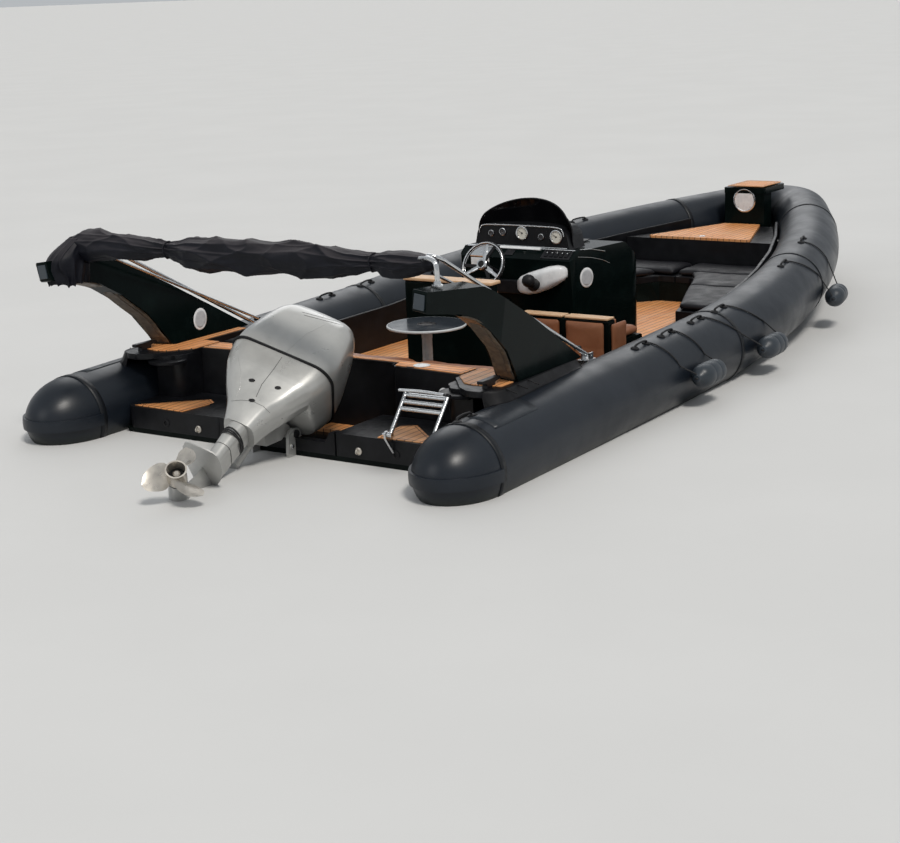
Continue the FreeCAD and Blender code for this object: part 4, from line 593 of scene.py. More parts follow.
def tube_frame(x, side):
    """Centre, forward, outboard and up directions of a tube at x."""
    if x <= KNEE.x:
        slope, y, turn = AFT_SLOPE, SPREAD, 0.0
        z = KNEE.z - (KNEE.x - x) * math.tan(AFT_SLOPE)
    else:
        run = (x - KNEE.x) / math.cos(FORE_SLOPE)
        slope, turn = FORE_SLOPE, math.asin(min(1, run / BOW_RADIUS))
        y = SPREAD - BOW_RADIUS * (1 - math.cos(turn))
        z = KNEE.z + run * math.sin(FORE_SLOPE)
    ahead = Vector((math.cos(turn) * math.cos(slope), -math.sin(turn) * side,
                    math.cos(turn) * math.sin(slope)))
    out = Vector((math.sin(turn) * math.cos(slope), math.cos(turn) * side, math.sin(turn) * math.sin(slope)))
    up = ahead.cross(out) if side > 0 else out.cross(ahead)
    return Vector((x, y * side, z)), ahead, out, up


def on_tube(x, angle, side, lift=0.0):
    """A point on the tube's skin; the angle is from the top, outboard positive, in degrees."""
    centre, _, out, up = tube_frame(x, side)
    a = math.radians(angle)
    return centre + (out * math.sin(a) + up * math.cos(a)) * (RADIUS + lift)


def tube_patch(name, x0, x1, a0, a1, side, look, slot, lift=0.003, cols=10, rows=14):
    """A glued strip on the tube between two stations and two angles."""
    verts = [on_tube(x0 + (x1 - x0) * i / cols, a0 + (a1 - a0) * j / rows, side, lift)
             for j in range(rows + 1) for i in range(cols + 1)]
    return skinned(piece(name, verts, grid_faces(cols, rows), look, slot), lift)


def deck_edge(tree, x, side):
    """Outboard edge of a side deck at x, felt for from above."""
    y = 1.56
    while y > 1.2:
        if tree.ray_cast(Vector((x, y * side, 2.0)), Vector((0, 0, -1)), 1.60)[0] is not None:
            return y
        y -= 0.001
    return None


DECK_SKIRT_AFT_X, DECK_SKIRT_FORE_X = 0.186, 1.142


def deck_skirt(side, word):
    """Rubber strip that closes the side deck's outboard edge down to the tube."""
    tree = surface("side_deck_" + word)
    rings = []
    for k in range(49):
        x = DECK_SKIRT_AFT_X + (DECK_SKIRT_FORE_X - DECK_SKIRT_AFT_X) * k / 48
        y = deck_edge(tree, x, side)
        if y is None:
            continue
        foot = math.degrees(math.asin((y + 0.036 - SPREAD) / RADIUS))
        rings.append([Vector((x, (y - 0.012) * side, 0.4512)), Vector((x, (y + 0.002) * side, 0.4514)),
                      Vector((x, (y + 0.008) * side, 0.4480)), Vector((x, (y + 0.012) * side, 0.4380)),
                      on_tube(x, foot, side, 0.0060), on_tube(x, foot + 2.6, side, 0.0022),
                      on_tube(x, foot + 1.0, side, -0.0040), on_tube(x, foot - 7.0, side, -0.0040),
                      Vector((x, (y - 0.014) * side, 0.4440))])
    piece("deck_skirt_" + word, *join_rings(rings), "rubber", "black_moulding", sharp=40)


for side, word in SIDES:
    deck_skirt(side, word)
    for count, (x, width) in enumerate(((-0.19, 0.05), (2.8, 0.04), (4.6, 0.03), (6.45, 0.04))):
        tube_patch("tube_seam_%s_%d" % (word, count), x - width / 2, x + width / 2, -180, 180, side,
                   "seam", "tube_fabric", 0.0025, 2, 48)
tube_patch("tube_glued_patch", -0.08, 0.36, -6, 34, -1, "patch", "tube_fabric", 0.0012, 6, 10)
tube_patch("wear_patch_port", -0.08, 0.36, -6, 34, 1, "patch", "tube_fabric", 0.0012, 6, 10)


GRIP_LENGTH = 0.15


def grab_handle(name, x, angle, side):
    """A moulded grip on two feet."""
    ends = []
    for k, shift in enumerate((-GRIP_LENGTH / 2, GRIP_LENGTH / 2)):
        foot = on_tube(x + shift, angle, side)
        centre, ahead, _, _ = tube_frame(x + shift, side)
        rise = (foot - centre).normalized()
        lathe("%s_foot_%d" % (name, k), [(0.027, 0.0), (0.027, 0.005), (0.019, 0.010), (0.010, 0.013)],
              foot, rise, "rubber", "fender_vinyl", sides=18)
        ends.append((foot + rise * 0.012, rise, ahead))
    (p0, r0, a0), (p1, r1, a1) = ends
    rod(name, [p0 - r0 * 0.004, p0 + r0 * 0.010 + a0 * 0.016, (p0 + p1) / 2 + (r0 + r1) * 0.0075,
               p1 + r1 * 0.010 - a1 * 0.016, p1 - r1 * 0.004], 0.0085, "rubber", "fender_vinyl", steps=6,
        squash=0.75)


STARBOARD_HANDLES = ((-0.10, -10), (1.75, 10), (2.10, 10), (2.52, 10), (2.88, 10), (4.25, 8), (5.05, 6))
PORT_HANDLES = ((0.95, -8), (1.30, -8), (1.85, -8), (2.35, -8), (2.85, -8), (4.6, -8), (5.4, -8))
for word, side, handles in (("starboard", -1, STARBOARD_HANDLES), ("port", 1, PORT_HANDLES)):
    for count, (x, angle) in enumerate(handles):
        grab_handle("grip_%s_%d" % (word, count), x, angle, side)


# Fenders: blow-moulded bodies with ribs, eyes and two lines each
def fender(name, place, turn, lines):
    """A fender whose two lines leave the tube at the stations in lines."""
    ahead = Vector((math.cos(math.radians(turn)), math.sin(math.radians(turn)), 0))
    start = Vector(place) - ahead * 0.175
    profile = [(0.010, -0.004), (0.020, -0.003), (0.022, 0.004), (0.026, 0.018), (0.050, 0.032),
               (0.068, 0.060), (0.0745, 0.095), (0.075, 0.13), (0.073, 0.135), (0.0755, 0.14),
               (0.0755, 0.21), (0.073, 0.215), (0.075, 0.22), (0.0745, 0.255), (0.068, 0.29),
               (0.050, 0.318), (0.026, 0.332), (0.022, 0.346), (0.020, 0.353), (0.010, 0.354)]
    body = lathe(name, profile, start, ahead, "fender", "fender_vinyl", sides=40, sharp=50)
    for end, (shift, x) in enumerate(zip((0.004, 0.346), lines)):
        eye = start + ahead * shift
        lathe("%s_eye_%d" % (name, end), [(0.013, -0.005), (0.016, 0.0), (0.013, 0.005)], eye,
              (0, 0, 1), "rubber", "fender_vinyl", sides=18)
        path = [on_tube(x + (eye.x - x) * (a / 84) ** 1.6, a, -1, 0.0055) for a in (10, 22, 34, 46, 58, 68)]
        rod("%s_line_%d" % (name, end), path + [eye + Vector((0, 0.012, 0.030)), eye + Vector((0, 0, 0.012))],
            0.0045, "rope", "fender_vinyl", steps=5, sides=8)
    return body


LOOP_X = ((1.84, 2.19), (2.61, 2.97), (4.33, 5.0))
FENDER_SPOTS = ((2.114, -1.767, 0.206, 0), (3.103, -1.762, 0.198, 2), (4.78, -1.55, 0.25, 13))
for (word, spot, lines) in zip(("aft", "middle", "bow"), FENDER_SPOTS, LOOP_X):
    x, y, z, turn = spot
    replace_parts(fender("fender_%s_body" % word, (x, y, z), turn, lines), "fenders")

# Gathered canopy boot, wrapped and tied round the stowed cloth
BOOT_X = -0.155
NECK_Y = (0.59, -0.885)


def boot_middle(y):
    """The middle of the stowed cloth at y, without its sag."""
    return Vector((BOOT_X, y, 1.183 + 0.0087 * (1.29 - y)))


BOOT_SHAPE = (
    # y, radius, flattening, drop of the middle
    (1.385, 0.020, 1.0, -0.030), (1.370, 0.062, 0.9, -0.022), (1.33, 0.092, 0.85, -0.010),
    (1.24, 0.102, 0.86, 0.000), (1.12, 0.094, 0.90, 0.004), (1.00, 0.080, 0.95, 0.004),
    (0.90, 0.070, 1.0, 0.002), (0.78, 0.062, 1.0, 0.000), (0.68, 0.050, 1.0, 0.000),
    (0.59, 0.038, 1.0, 0.000), (0.52, 0.050, 1.0, -0.004), (0.40, 0.078, 1.05, -0.010),
    (0.22, 0.090, 1.0, -0.012), (0.00, 0.096, 1.0, -0.012), (-0.20, 0.086, 1.0, -0.012),
    (-0.42, 0.088, 1.0, -0.014), (-0.60, 0.080, 1.0, -0.014), (-0.75, 0.062, 1.0, -0.012),
    (-0.86, 0.042, 1.0, -0.008), (-0.91, 0.040, 1.0, -0.006), (-0.98, 0.060, 1.0, -0.008),
    (-1.07, 0.072, 0.95, -0.010), (-1.16, 0.064, 0.92, -0.006), (-1.23, 0.050, 0.9, 0.000),
    (-1.28, 0.034, 0.9, 0.004), (-1.295, 0.016, 1.0, 0.004),
)


def blend_rows(rows, value):
    """Values eased between rows sorted by falling first column."""
    for low, high in zip(rows, rows[1:]):
        if low[0] >= value >= high[0]:
            t = (low[0] - value) / (low[0] - high[0])
            t = t * t * (3 - 2 * t)
            return [p + (q - p) * t for p, q in zip(low, high)]
    return list(rows[0] if value > rows[0][0] else rows[-1])


def ridged(value, power):
    """Sharp ridges with soft valleys between them, from 0 to 1."""
    return (1 - abs(math.sin(value))) ** power


def boot():
    """The stowed cloth's wrapping, with folds that run round it and gathers at its two necks."""
    rows, around = 420, 120
    rings = []
    for i in range(rows + 1):
        y = BOOT_SHAPE[0][0] + (BOOT_SHAPE[-1][0] - BOOT_SHAPE[0][0]) * i / rows
        _, radius, flat, drop = blend_rows(BOOT_SHAPE, y)
        sway = 0.010 * noise.noise(Vector((y * 2.3, 4.0, 1.0)))
        centre = boot_middle(y) + Vector((sway, 0, drop + 0.006 * noise.noise(Vector((y * 3.1, 9.0, 2.0)))))
        pull = math.exp(-min(abs(y - neck) for neck in NECK_Y) * 7)
        ring = []
        for j in range(around):
            a = math.tau * j / around
            ca, sa = math.cos(a), math.sin(a)
            warp = 1.6 * noise.noise(Vector((y * 2.6, ca * 0.8, sa * 0.8)))
            drape = ridged(1.5 * a + 6.5 * y + warp, 1.7)
            cross = ridged(1.0 * a - 10.0 * y + 1.4 * warp + 1.3, 2.2)
            gather = ridged(4.5 * a + 1.2 * warp, 1.8)
            lump = noise.noise(Vector((y * 5.5, ca * 1.3, sa * 1.3 + 5)))
            small = noise.noise(Vector((y * 22, ca * 4, sa * 4 + 7)))
            r = radius * (0.93 + 0.16 * drape + 0.10 * cross * (1 - pull) + (0.05 + 0.26 * pull) * gather
                          + 0.12 * lump + 0.016 * small)
            sag = 1.10 if sa < 0 else 1.0
            ring.append(centre + Vector((ca * r, 0.006 * drape, sa * r * flat * sag)))
        rings.append(ring)
    item = piece("canopy_boot", *join_rings(rings), "canvas", "canopy_cloth", "sunshade", sharp=180)
    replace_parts(item, "sunshade_boot")


boot()


def skirt():
    """The boot's open mouth, hanging in gathers over the port fin's tip."""
    rows, cols = 44, 220
    verts = []
    for i in range(rows + 1):
        v = i / rows
        spread = math.sin(min(1.0, v * 1.7) * math.pi / 2)
        close = 1 - 0.16 * max(0.0, (v - 0.62) / 0.38)
        for j in range(cols):
            a = math.tau * j / cols
            ca, sa = math.cos(a), math.sin(a)
            warp = 1.1 * noise.noise(Vector((ca * 1.4, sa * 1.4, v * 1.6)))
            pleat = ridged(6.5 * a + 2.0 * warp, 1.5) - 0.35
            fold = noise.noise(Vector((ca * 2.2, sa * 2.2, v * 5 + 3)))
            grow = (1 + (0.03 + 0.15 * v) * pleat + 0.06 * fold) * close
            ax, ay = 0.052 + 0.092 * spread, 0.050 + 0.060 * spread
            cx = -0.195 - 0.055 * spread
            cy = 1.275 + 0.055 * spread
            hem = 0.022 * noise.noise(Vector((ca * 1.7, sa * 1.7, 11.0))) + 0.012 * pleat
            z = 1.238 - 0.255 * v - v * v * (0.020 + hem) - 0.030 * (1 - v) * spread * max(0.0, -ca)
            verts.append((cx + ca * ax * grow, cy + sa * ay * grow, z))
    faces = [(i * cols + j, i * cols + (j + 1) % cols, (i + 1) * cols + (j + 1) % cols, (i + 1) * cols + j)
             for i in range(rows) for j in range(cols)]
    item = piece("canopy_boot_skirt", verts, faces, "canvas", "canopy_cloth", "sunshade", sharp=180)
    thick = item.modifiers.new("cloth", "SOLIDIFY")
    thick.thickness = 0.002


# Not the size of a real cut: this side is picked by eye, and the other is the modelled area over it
skirt()
for count, (y, r) in enumerate(zip(NECK_Y, (0.046, 0.047))):
    _, _, flat, drop = blend_rows(BOOT_SHAPE, y)
    centre = boot_middle(y) + Vector((0, 0, drop - 0.003))
    loop = [centre + Vector((math.cos(a) * r, 0.004 * math.sin(3 * a), math.sin(a) * r * flat * 1.05))
            for a in circle(24, 1)]
    rod("boot_tie_%d" % count, loop, 0.006, "canvas", "canopy_cloth", "sunshade", steps=2, sides=8,
        squash=0.5)

# Second thin pole beside each leg, and the bow's elbow on the starboard fin
for side, word in SIDES:
    rod("shade_strut_%s" % word, [(1.365, (1.29 - 0.055) * side, 0.470), (-0.12, 1.235 * side, 1.150)],
        0.0095, "steel", "stainless", "sunshade", steps=1, sides=12)
    lathe("strut_foot_%s" % word, [(0.014, -0.02), (0.016, -0.018), (0.016, 0.018), (0.014, 0.02)],
          (1.375, 1.25 * side, 0.463), (0, 1, 0), "rubber", "stainless", "sunshade", sides=18)
rod("shade_elbow", [(-0.25, -1.355, 1.118), (-0.25, -1.352, 1.20), (-0.243, -1.335, 1.232),
                    (-0.225, -1.29, 1.243), (-0.19, -1.22, 1.235), (-0.16, -1.14, 1.222)], 0.0135,
    "steel", "stainless", "sunshade", steps=6, sides=14)
lathe("shade_elbow_foot", [(0.030, 0.0), (0.030, 0.006), (0.020, 0.012), (0.018, 0.024)],
      (-0.25, -1.355, 1.108), (0, 0, 1), "steel", "stainless", sides=24)

# Fin linings, end caps and blank badges
FIN_LEAN, DECK_TOP, FIN_ROOT = math.radians(8.5), 0.450, 1.222
FIN_FRONT, FIN_LENGTH, FIN_HEIGHT = 1.28, 1.71, 0.677


def fin_point(aft, up, out, side):
    """A point of a fin from shares of its length and height and metres of thickness."""
    z, t = FIN_HEIGHT * up, out
    return Vector((FIN_FRONT - FIN_LENGTH * aft,
                   (FIN_ROOT + t * math.cos(FIN_LEAN) + z * math.sin(FIN_LEAN)) * side,
                   DECK_TOP - t * math.sin(FIN_LEAN) + z * math.cos(FIN_LEAN)))


UNDERSIDE = ((0.985, 0.818), (0.889, 0.784), (0.80, 0.735), (0.735, 0.675), (0.68, 0.59),
             (0.635, 0.495), (0.59, 0.405), (0.556, 0.335), (0.525, 0.24), (0.50, 0.14),
             (0.472, 0.06), (0.458, 0.02))


def fin_lining(name, side, t0, t1, lift, first, last, look):
    """A strip along the fin's concave underside."""
    line = curve_through([(a, u, 0) for a, u in UNDERSIDE], 5)
    rings = []
    span = line[int(first * (len(line) - 1)):int(last * (len(line) - 1)) + 1]
    for i, p in enumerate(span):
        ahead = span[min(i + 1, len(span) - 1)] - span[max(i - 1, 0)]
        dx, dz = -FIN_LENGTH * ahead.x, FIN_HEIGHT * ahead.y
        size = math.hypot(dx, dz)
        nx, nz = dz / size, -dx / size
        if nz > 0:
            nx, nz = -nx, -nz
        ring = []
        for out, far in ((t0, 0), (t0 + 0.004, 1), (t1 - 0.004, 1), (t1, 0)):
            push = lift if far else -0.002
            ring.append(fin_point(p.x - nx * push / FIN_LENGTH, p.y + nz * push / FIN_HEIGHT, out, side))
        rings.append(ring)
    piece(name, *join_rings(rings, around=False, closed_ends=False), look, "gloss_black", sharp=35)


for side, word in SIDES:
    fin_lining("fin_lining_%s" % word, side, 0.012, 0.134, 0.005, 0.16, 1.0, "bronze")
    fin_lining("fin_inset_%s" % word, side, 0.036, 0.108, 0.008, 0.34, 0.86, "bronze_dark")
    cap = [fin_point(0.999, u, t, side) + Vector((-0.004, 0, 0))
           for t, u in ((0.012, 0.85), (0.078, 0.85), (0.078, 0.972), (0.012, 0.972))]
    rounded(piece("fin_end_%s" % word, cap + [p + Vector((0.012, 0, 0)) for p in cap], BLOCK_FACES,
                  "slate", "gloss_black", smooth=False), 0.003)

fin_tree = surface("fin_port")
console_tree = surface("console")


def badge(name, tree, centre_px, half_px, lean=0):
    """A blank oval badge at a pixel of the photograph."""
    (px, py), (half_x, half_y) = centre_px, half_px
    quad = [(px - half_x + lean, py - half_y), (px + half_x + lean, py - half_y),
            (px + half_x - lean, py + half_y), (px - half_x - lean, py + half_y)]
    patch(name, tree, quad, "white", "table_top", 0.0015, (12, 12), oval=True)
    patch(name + "_field", tree, [(px + (x - px) * 0.78, py + (y - py) * 0.78) for x, y in quad],
          "badge_field", "gloss_black", 0.0022, (12, 12), oval=True)


FIN_BADGE_PX, FIN_BADGE_HALF_PX = (200, 319), (6.5, 11)
CONSOLE_BADGE_PX, CONSOLE_BADGE_HALF_PX = (586.5, 277.5), (6.5, 10)
badge("badge_fin_port", fin_tree, FIN_BADGE_PX, FIN_BADGE_HALF_PX, 0.5)
badge("badge_console", console_tree, CONSOLE_BADGE_PX, CONSOLE_BADGE_HALF_PX, 0.5)

# Outboard motor, drawn upright and carried to its tilted and steered place
TILT, TURN, SWIVEL = math.radians(58), math.radians(24), -0.130
TILT_PIN_X, TILT_PIN_Z = -0.005, 0.130


def swung(x, y, z):
    """Tilted but not steered, for what stays on the swivel bracket."""
    return Vector((TILT_PIN_X + x * math.cos(TILT) + z * math.sin(TILT), y,
                   TILT_PIN_Z - x * math.sin(TILT) + z * math.cos(TILT)))


def upright(x, y, z):
    """Steered and tilted, from a place on the upright motor."""
    a = x - SWIVEL
    return swung(SWIVEL + a * math.cos(TURN) - y * math.sin(TURN), a * math.sin(TURN) + y * math.cos(TURN), z)


def motor_piece(name, rings, sharp=40):
    """A shell in the motor's paint through rings."""
    return piece(name, *join_rings(rings), "motor", "motor_paint", "motor", sharp=sharp)


def round_section(back, front, half, round_front, round_back, bulge=0.0):
    """A rounded rectangle of 64 points, its long sides bulging a little."""
    corners = ((front - round_front, half - round_front, round_front, 0),
               (back + round_back, half - round_back, round_back, 90),
               (back + round_back, -half + round_back, round_back, 180),
               (front - round_front, -half + round_front, round_front, 270))
    points = []
    for index, (cx, cy, r, start) in enumerate(corners):
        for k in range(10):
            a = math.radians(start + 90 * k / 9)
            points.append((cx + r * math.cos(a), cy + r * math.sin(a)))
        nx, ny, nr, nstart = corners[(index + 1) % 4]
        a = math.radians(nstart)
        end = (nx + nr * math.cos(a), ny + nr * math.sin(a))
        last = points[-1]
        for k in range(1, 7):
            t = k / 7
            push = bulge * 4 * t * (1 - t)
            out = (0, 1) if index == 0 else (-1, 0) if index == 1 else (0, -1) if index == 2 else (1, 0)
            points.append((last[0] + (end[0] - last[0]) * t + out[0] * push,
                           last[1] + (end[1] - last[1]) * t + out[1] * push))
    return points


COWL = ((0.206, -0.482, 0.050, 0.324, 0.160, 0.120), (0.300, -0.476, 0.044, 0.318, 0.160, 0.118),
        (0.440, -0.452, 0.025, 0.288, 0.165, 0.110), (0.580, -0.415, -0.020, 0.252, 0.150, 0.105),
        (0.660, -0.355, -0.080, 0.215, 0.120, 0.090), (0.690, -0.310, -0.116, 0.188, 0.100, 0.076),
        (0.705, -0.270, -0.150, 0.150, 0.080, 0.060))
PAN = ((-0.290, -0.400, -0.205, 0.095, 0.050, 0.050), (-0.180, -0.430, -0.215, 0.140, 0.070, 0.070),
       (-0.080, -0.455, -0.222, 0.205, 0.110, 0.080), (0.030, -0.475, -0.238, 0.268, 0.120, 0.100),
       (0.062, -0.478, 0.010, 0.285, 0.130, 0.105), (0.130, -0.481, 0.038, 0.308, 0.150, 0.114),
       (0.196, -0.482, 0.050, 0.322, 0.160, 0.120))


def shell_rings(rows, steps, bulge, hard=()):
    """Rings up the shell; the hard rows keep their crease."""
    rings = []
    for i in range(len(rows) - 1):
        before = rows[max(i - 1, 0)] if i not in hard else rows[i]
        after = rows[min(i + 2, len(rows) - 1)] if i + 1 not in hard else rows[i + 1]
        for k in range(steps):
            t = k / steps
            mixed = []
            for p, a, b, n in zip(before, rows[i], rows[i + 1], after):
                mixed.append(0.5 * (2 * a + (b - p) * t + (2 * p - 5 * a + 4 * b - n) * t * t
                                    + (3 * a - p - 3 * b + n) * t ** 3))
            rings.append((mixed[0], round_section(*mixed[1:], bulge=bulge)))
    rings.append((rows[-1][0], round_section(*rows[-1][1:], bulge=bulge)))
    return rings


def shell_piece(name, rows, bulge, crown, nodes, hard=()):
    """A shell up the rows; a crown closes its top in shrinking rings."""
    rings = [[upright(x, y, z) for x, y in ring] for z, ring in shell_rings(rows, 5, bulge, hard)]
    if crown:
        row = rows[-1]
        cx = (row[1] + row[2]) / 2
        for grow, rise in ((0.94, 0.45), (0.82, 0.78), (0.6, 0.96), (0.3, 1.0)):
            rings.append([upright(cx + (x - cx) * grow, y * grow, row[0] + crown * rise)
                          for x, y in round_section(*row[1:], bulge=bulge)])
    item = motor_piece(name, rings, 32)
    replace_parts(item, *nodes)


shell_piece("cowl_shell", COWL, 0.006, 0.008, ("motor_cowl",))
shell_piece("pan_shell", PAN, 0.003, 0.0, ("motor_pan",), hard=(3, 4))
seam_line = [upright(x * 1.004 - 0.001, y * 1.006, 0.203)
             for x, y in round_section(-0.484, 0.052, 0.326, 0.160, 0.120)]
rod("cowl_seam_band", seam_line + seam_line[:1], 0.0085, "rubber", "motor_paint", "motor", steps=1,
    sides=8, squash=0.8)
cowl_tree = surface("cowl_shell", "pan_shell")
rod("cowl_gap_fill", [upright(x, y, 0.2) for x, y in round_section(-0.474, 0.042, 0.316, 0.155, 0.115)],
    0.006, "rubber", "motor_paint", "motor", steps=1, sides=6)
STRIPES_PX = (((302, 312), (343, 323)), ((304, 315), (342, 325)))
PAN_CREASE_PX = ((282, 357), (273, 370), (262, 384), (256, 397))
NECK_LINE_PX = ((231, 401), (241, 400), (252, 401), (263, 406), (270, 413))
SIDE_CREASE_PX = ((238, 356), (241, 372), (240, 388), (234, 400))
FACE_CREASE_PX = ((286, 352), (306, 334), (330, 322))
OUTLETS_PX = ((252, 380.5), (278, 388), (252, 400.5))
OUTLET_HALF_WIDE_PX, OUTLET_HALF_HIGH_PX, OUTLET_LEAN_PX = 3.2, 1.4, 0.2
# The pan and cowl crease lines are painted shade: darker lines laid along the creases.
for name, pixels, radius, look, steps in (
        ("cowl_stripe_0", STRIPES_PX[0], 0.0025, "rubber", 8),
        ("cowl_stripe_1", STRIPES_PX[1], 0.0025, "rubber", 8),
        ("pan_crease", PAN_CREASE_PX, 0.0022, "dark_line", 6),
        ("pan_neck_line", NECK_LINE_PX, 0.002, "dark_line", 4),
        ("pan_side_crease", SIDE_CREASE_PX, 0.0015, "motor_shade", 5),
        ("cowl_face_crease", FACE_CREASE_PX, 0.0018, "motor_shade", 6)):
    line_on(name, cowl_tree, pixels, radius, look, "motor_paint", "motor", steps, 0.4)
for count, (px, py) in enumerate(OUTLETS_PX):
    quad = [(px + OUTLET_HALF_WIDE_PX * right, py + OUTLET_HALF_HIGH_PX * down + OUTLET_LEAN_PX * right)
            for right, down in ((-1, -1), (1, -1), (1, 1), (-1, 1))]
    patch("pan_outlet_%d" % count, cowl_tree, quad, "rubber", "motor_paint", 0.004, (6, 4), "motor",
          oval=True)

# Leg, plate, gearcase and skeg
LEG = ((-0.292, -0.398, -0.205, 0.060, 0.05, 0.05), (-0.38, -0.402, -0.200, 0.055, 0.05, 0.05),
       (-0.47, -0.404, -0.200, 0.050, 0.048, 0.048), (-0.56, -0.405, -0.200, 0.048, 0.046, 0.046),
       (-0.655, -0.410, -0.200, 0.047, 0.045, 0.045))
rings = [[upright(x, y, z) for x, y in ring] for z, ring in shell_rings(LEG, 4, 0.0)]
leg_piece = motor_piece("leg_shell", rings)
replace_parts(leg_piece, "motor_leg")


def wing_ring(x0, x1, half, z):
    """A streamlined section, blunt forward."""
    count = 18
    ring = []
    for side in (1, -1):
        for k in range(count):
            t = k / (count - 1) if side > 0 else 1 - k / (count - 1)
            thick = half * (2.6 * math.sqrt(max(t, 0)) * (1 - t) + 0.15 * (1 - t)) * 0.98
            ring.append(upright(x1 + (x0 - x1) * t, side * thick, z))
    return ring


GEAR_Z = -0.895
rings = [wing_ring(x0, x1, half, z) for x0, x1, half, z in (
    (-0.425, -0.200, 0.047, -0.652), (-0.430, -0.203, 0.040, -0.70), (-0.452, -0.212, 0.032, -0.77),
    (-0.470, -0.222, 0.028, -0.84), (-0.480, -0.226, 0.027, GEAR_Z))]
motor_piece("leg_strut_shell", rings)
rings = [wing_ring(x0, x1, half, z) for x0, x1, half, z in (
    (-0.440, -0.230, 0.026, GEAR_Z), (-0.450, -0.262, 0.018, GEAR_Z - 0.07),
    (-0.500, -0.330, 0.010, GEAR_Z - 0.135), (-0.545, -0.410, 0.006, GEAR_Z - 0.163))]
motor_piece("leg_skeg", rings)
PLATE = ((-0.200, 0.0), (-0.208, 0.045), (-0.235, 0.066), (-0.30, 0.080), (-0.38, 0.110), (-0.46, 0.124),
         (-0.54, 0.118), (-0.585, 0.100), (-0.600, 0.070), (-0.603, 0.0))
plan = mirrored(PLATE)
rings = []
for shrink, z in ((0.90, -0.664), (1.0, -0.6595), (1.0, -0.6525), (0.93, -0.647)):
    rings.append([upright(-0.40 + (x + 0.40) * shrink, y * shrink, z) for x, y in plan])
motor_piece("leg_plate_shell", rings, 30)
rings = []
for x, r in ((-0.052, 0.004), (-0.058, 0.020), (-0.075, 0.036), (-0.105, 0.049), (-0.15, 0.058),
             (-0.22, 0.061), (-0.32, 0.060), (-0.42, 0.058), (-0.52, 0.055), (-0.585, 0.052)):
    rings.append([upright(x, math.cos(a) * r, GEAR_Z + math.sin(a) * r * 1.04)
                  for a in circle(32)])
motor_piece("leg_gearcase", rings)
for z in (-0.72, -0.735, -0.75):
    rod("leg_intake_%d" % round(-z * 1000), [upright(-0.30, 0.041, z), upright(-0.355, 0.036, z)], 0.003,
        "rubber", "motor_paint", "motor", steps=1, sides=6)
rod("leg_seam", [upright(x, y, -0.46) for x, y in round_section(-0.405, -0.199, 0.0515, 0.049, 0.049)],
    0.0016, "dark_line", "motor_paint", "motor", steps=1, sides=6)

# Propeller with a flared hub and three cupped blades
HUB_X = -0.594


def turned_x(name, rows, look, body):
    """A piece turned about the propeller's own axis."""
    rings = [[upright(x, math.cos(a) * r, GEAR_Z + math.sin(a) * r) for a in circle(40)]
             for x, r in rows]
    return piece(name, *join_rings(rings), look, "stainless", body, sharp=30)


hub_piece = turned_x("propeller_hub", ((HUB_X, 0.050), (HUB_X - 0.004, 0.054), (HUB_X - 0.05, 0.054),
                                       (HUB_X - 0.082, 0.053), (HUB_X - 0.094, 0.058),
                                       (HUB_X - 0.098, 0.0585), (HUB_X - 0.098, 0.050),
                                       (HUB_X - 0.070, 0.047), (HUB_X - 0.040, 0.046),
                                       (HUB_X - 0.039, 0.022), (HUB_X - 0.060, 0.020),
                                       (HUB_X - 0.066, 0.012)), "steel_warm", "screw")
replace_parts(hub_piece, "propeller")
turned_x("propeller_bore", ((HUB_X - 0.0415, 0.0455), (HUB_X - 0.0415, 0.0225)), "rubber", "screw")
for blade in range(3):
    turn = math.tau * blade / 3 + math.radians(90)
    rings = []
    for k in range(15):
        s = k / 14
        r = 0.050 + 0.140 * s
        chord = 0.062 + 0.105 * math.sin(math.pi * min(1.0, (0.12 + s * 0.83)) ** 0.8)
        if s > 0.8:
            chord *= math.sqrt(max(0.02, 1 - ((s - 0.8) / 0.2) ** 2))
        pitch = math.atan2(0.075, r)
        skew = -0.30 * s * s
        ring = []
        for j in range(16):
            t = j / 7.5 if j < 8 else (15 - j) / 7.5
            u = min(1.0, t) - 0.5
            face = 1 if j < 8 else -1
            thick = (0.0035 + 0.004 * (1 - s)) * max(0.12, 1 - (2 * u) ** 2) * face * 0.5
            along = chord * u * math.sin(pitch) + thick * math.cos(pitch) - 0.012 * s
            arc = (chord * u * math.cos(pitch) - thick * math.sin(pitch)) / r + skew + turn
            ring.append(upright(HUB_X - 0.050 - along, math.cos(arc) * r, GEAR_Z + math.sin(arc) * r))
        rings.append(ring)
    piece("propeller_blade_%d" % blade, *join_rings(rings), "steel_warm", "stainless", "screw", sharp=50)

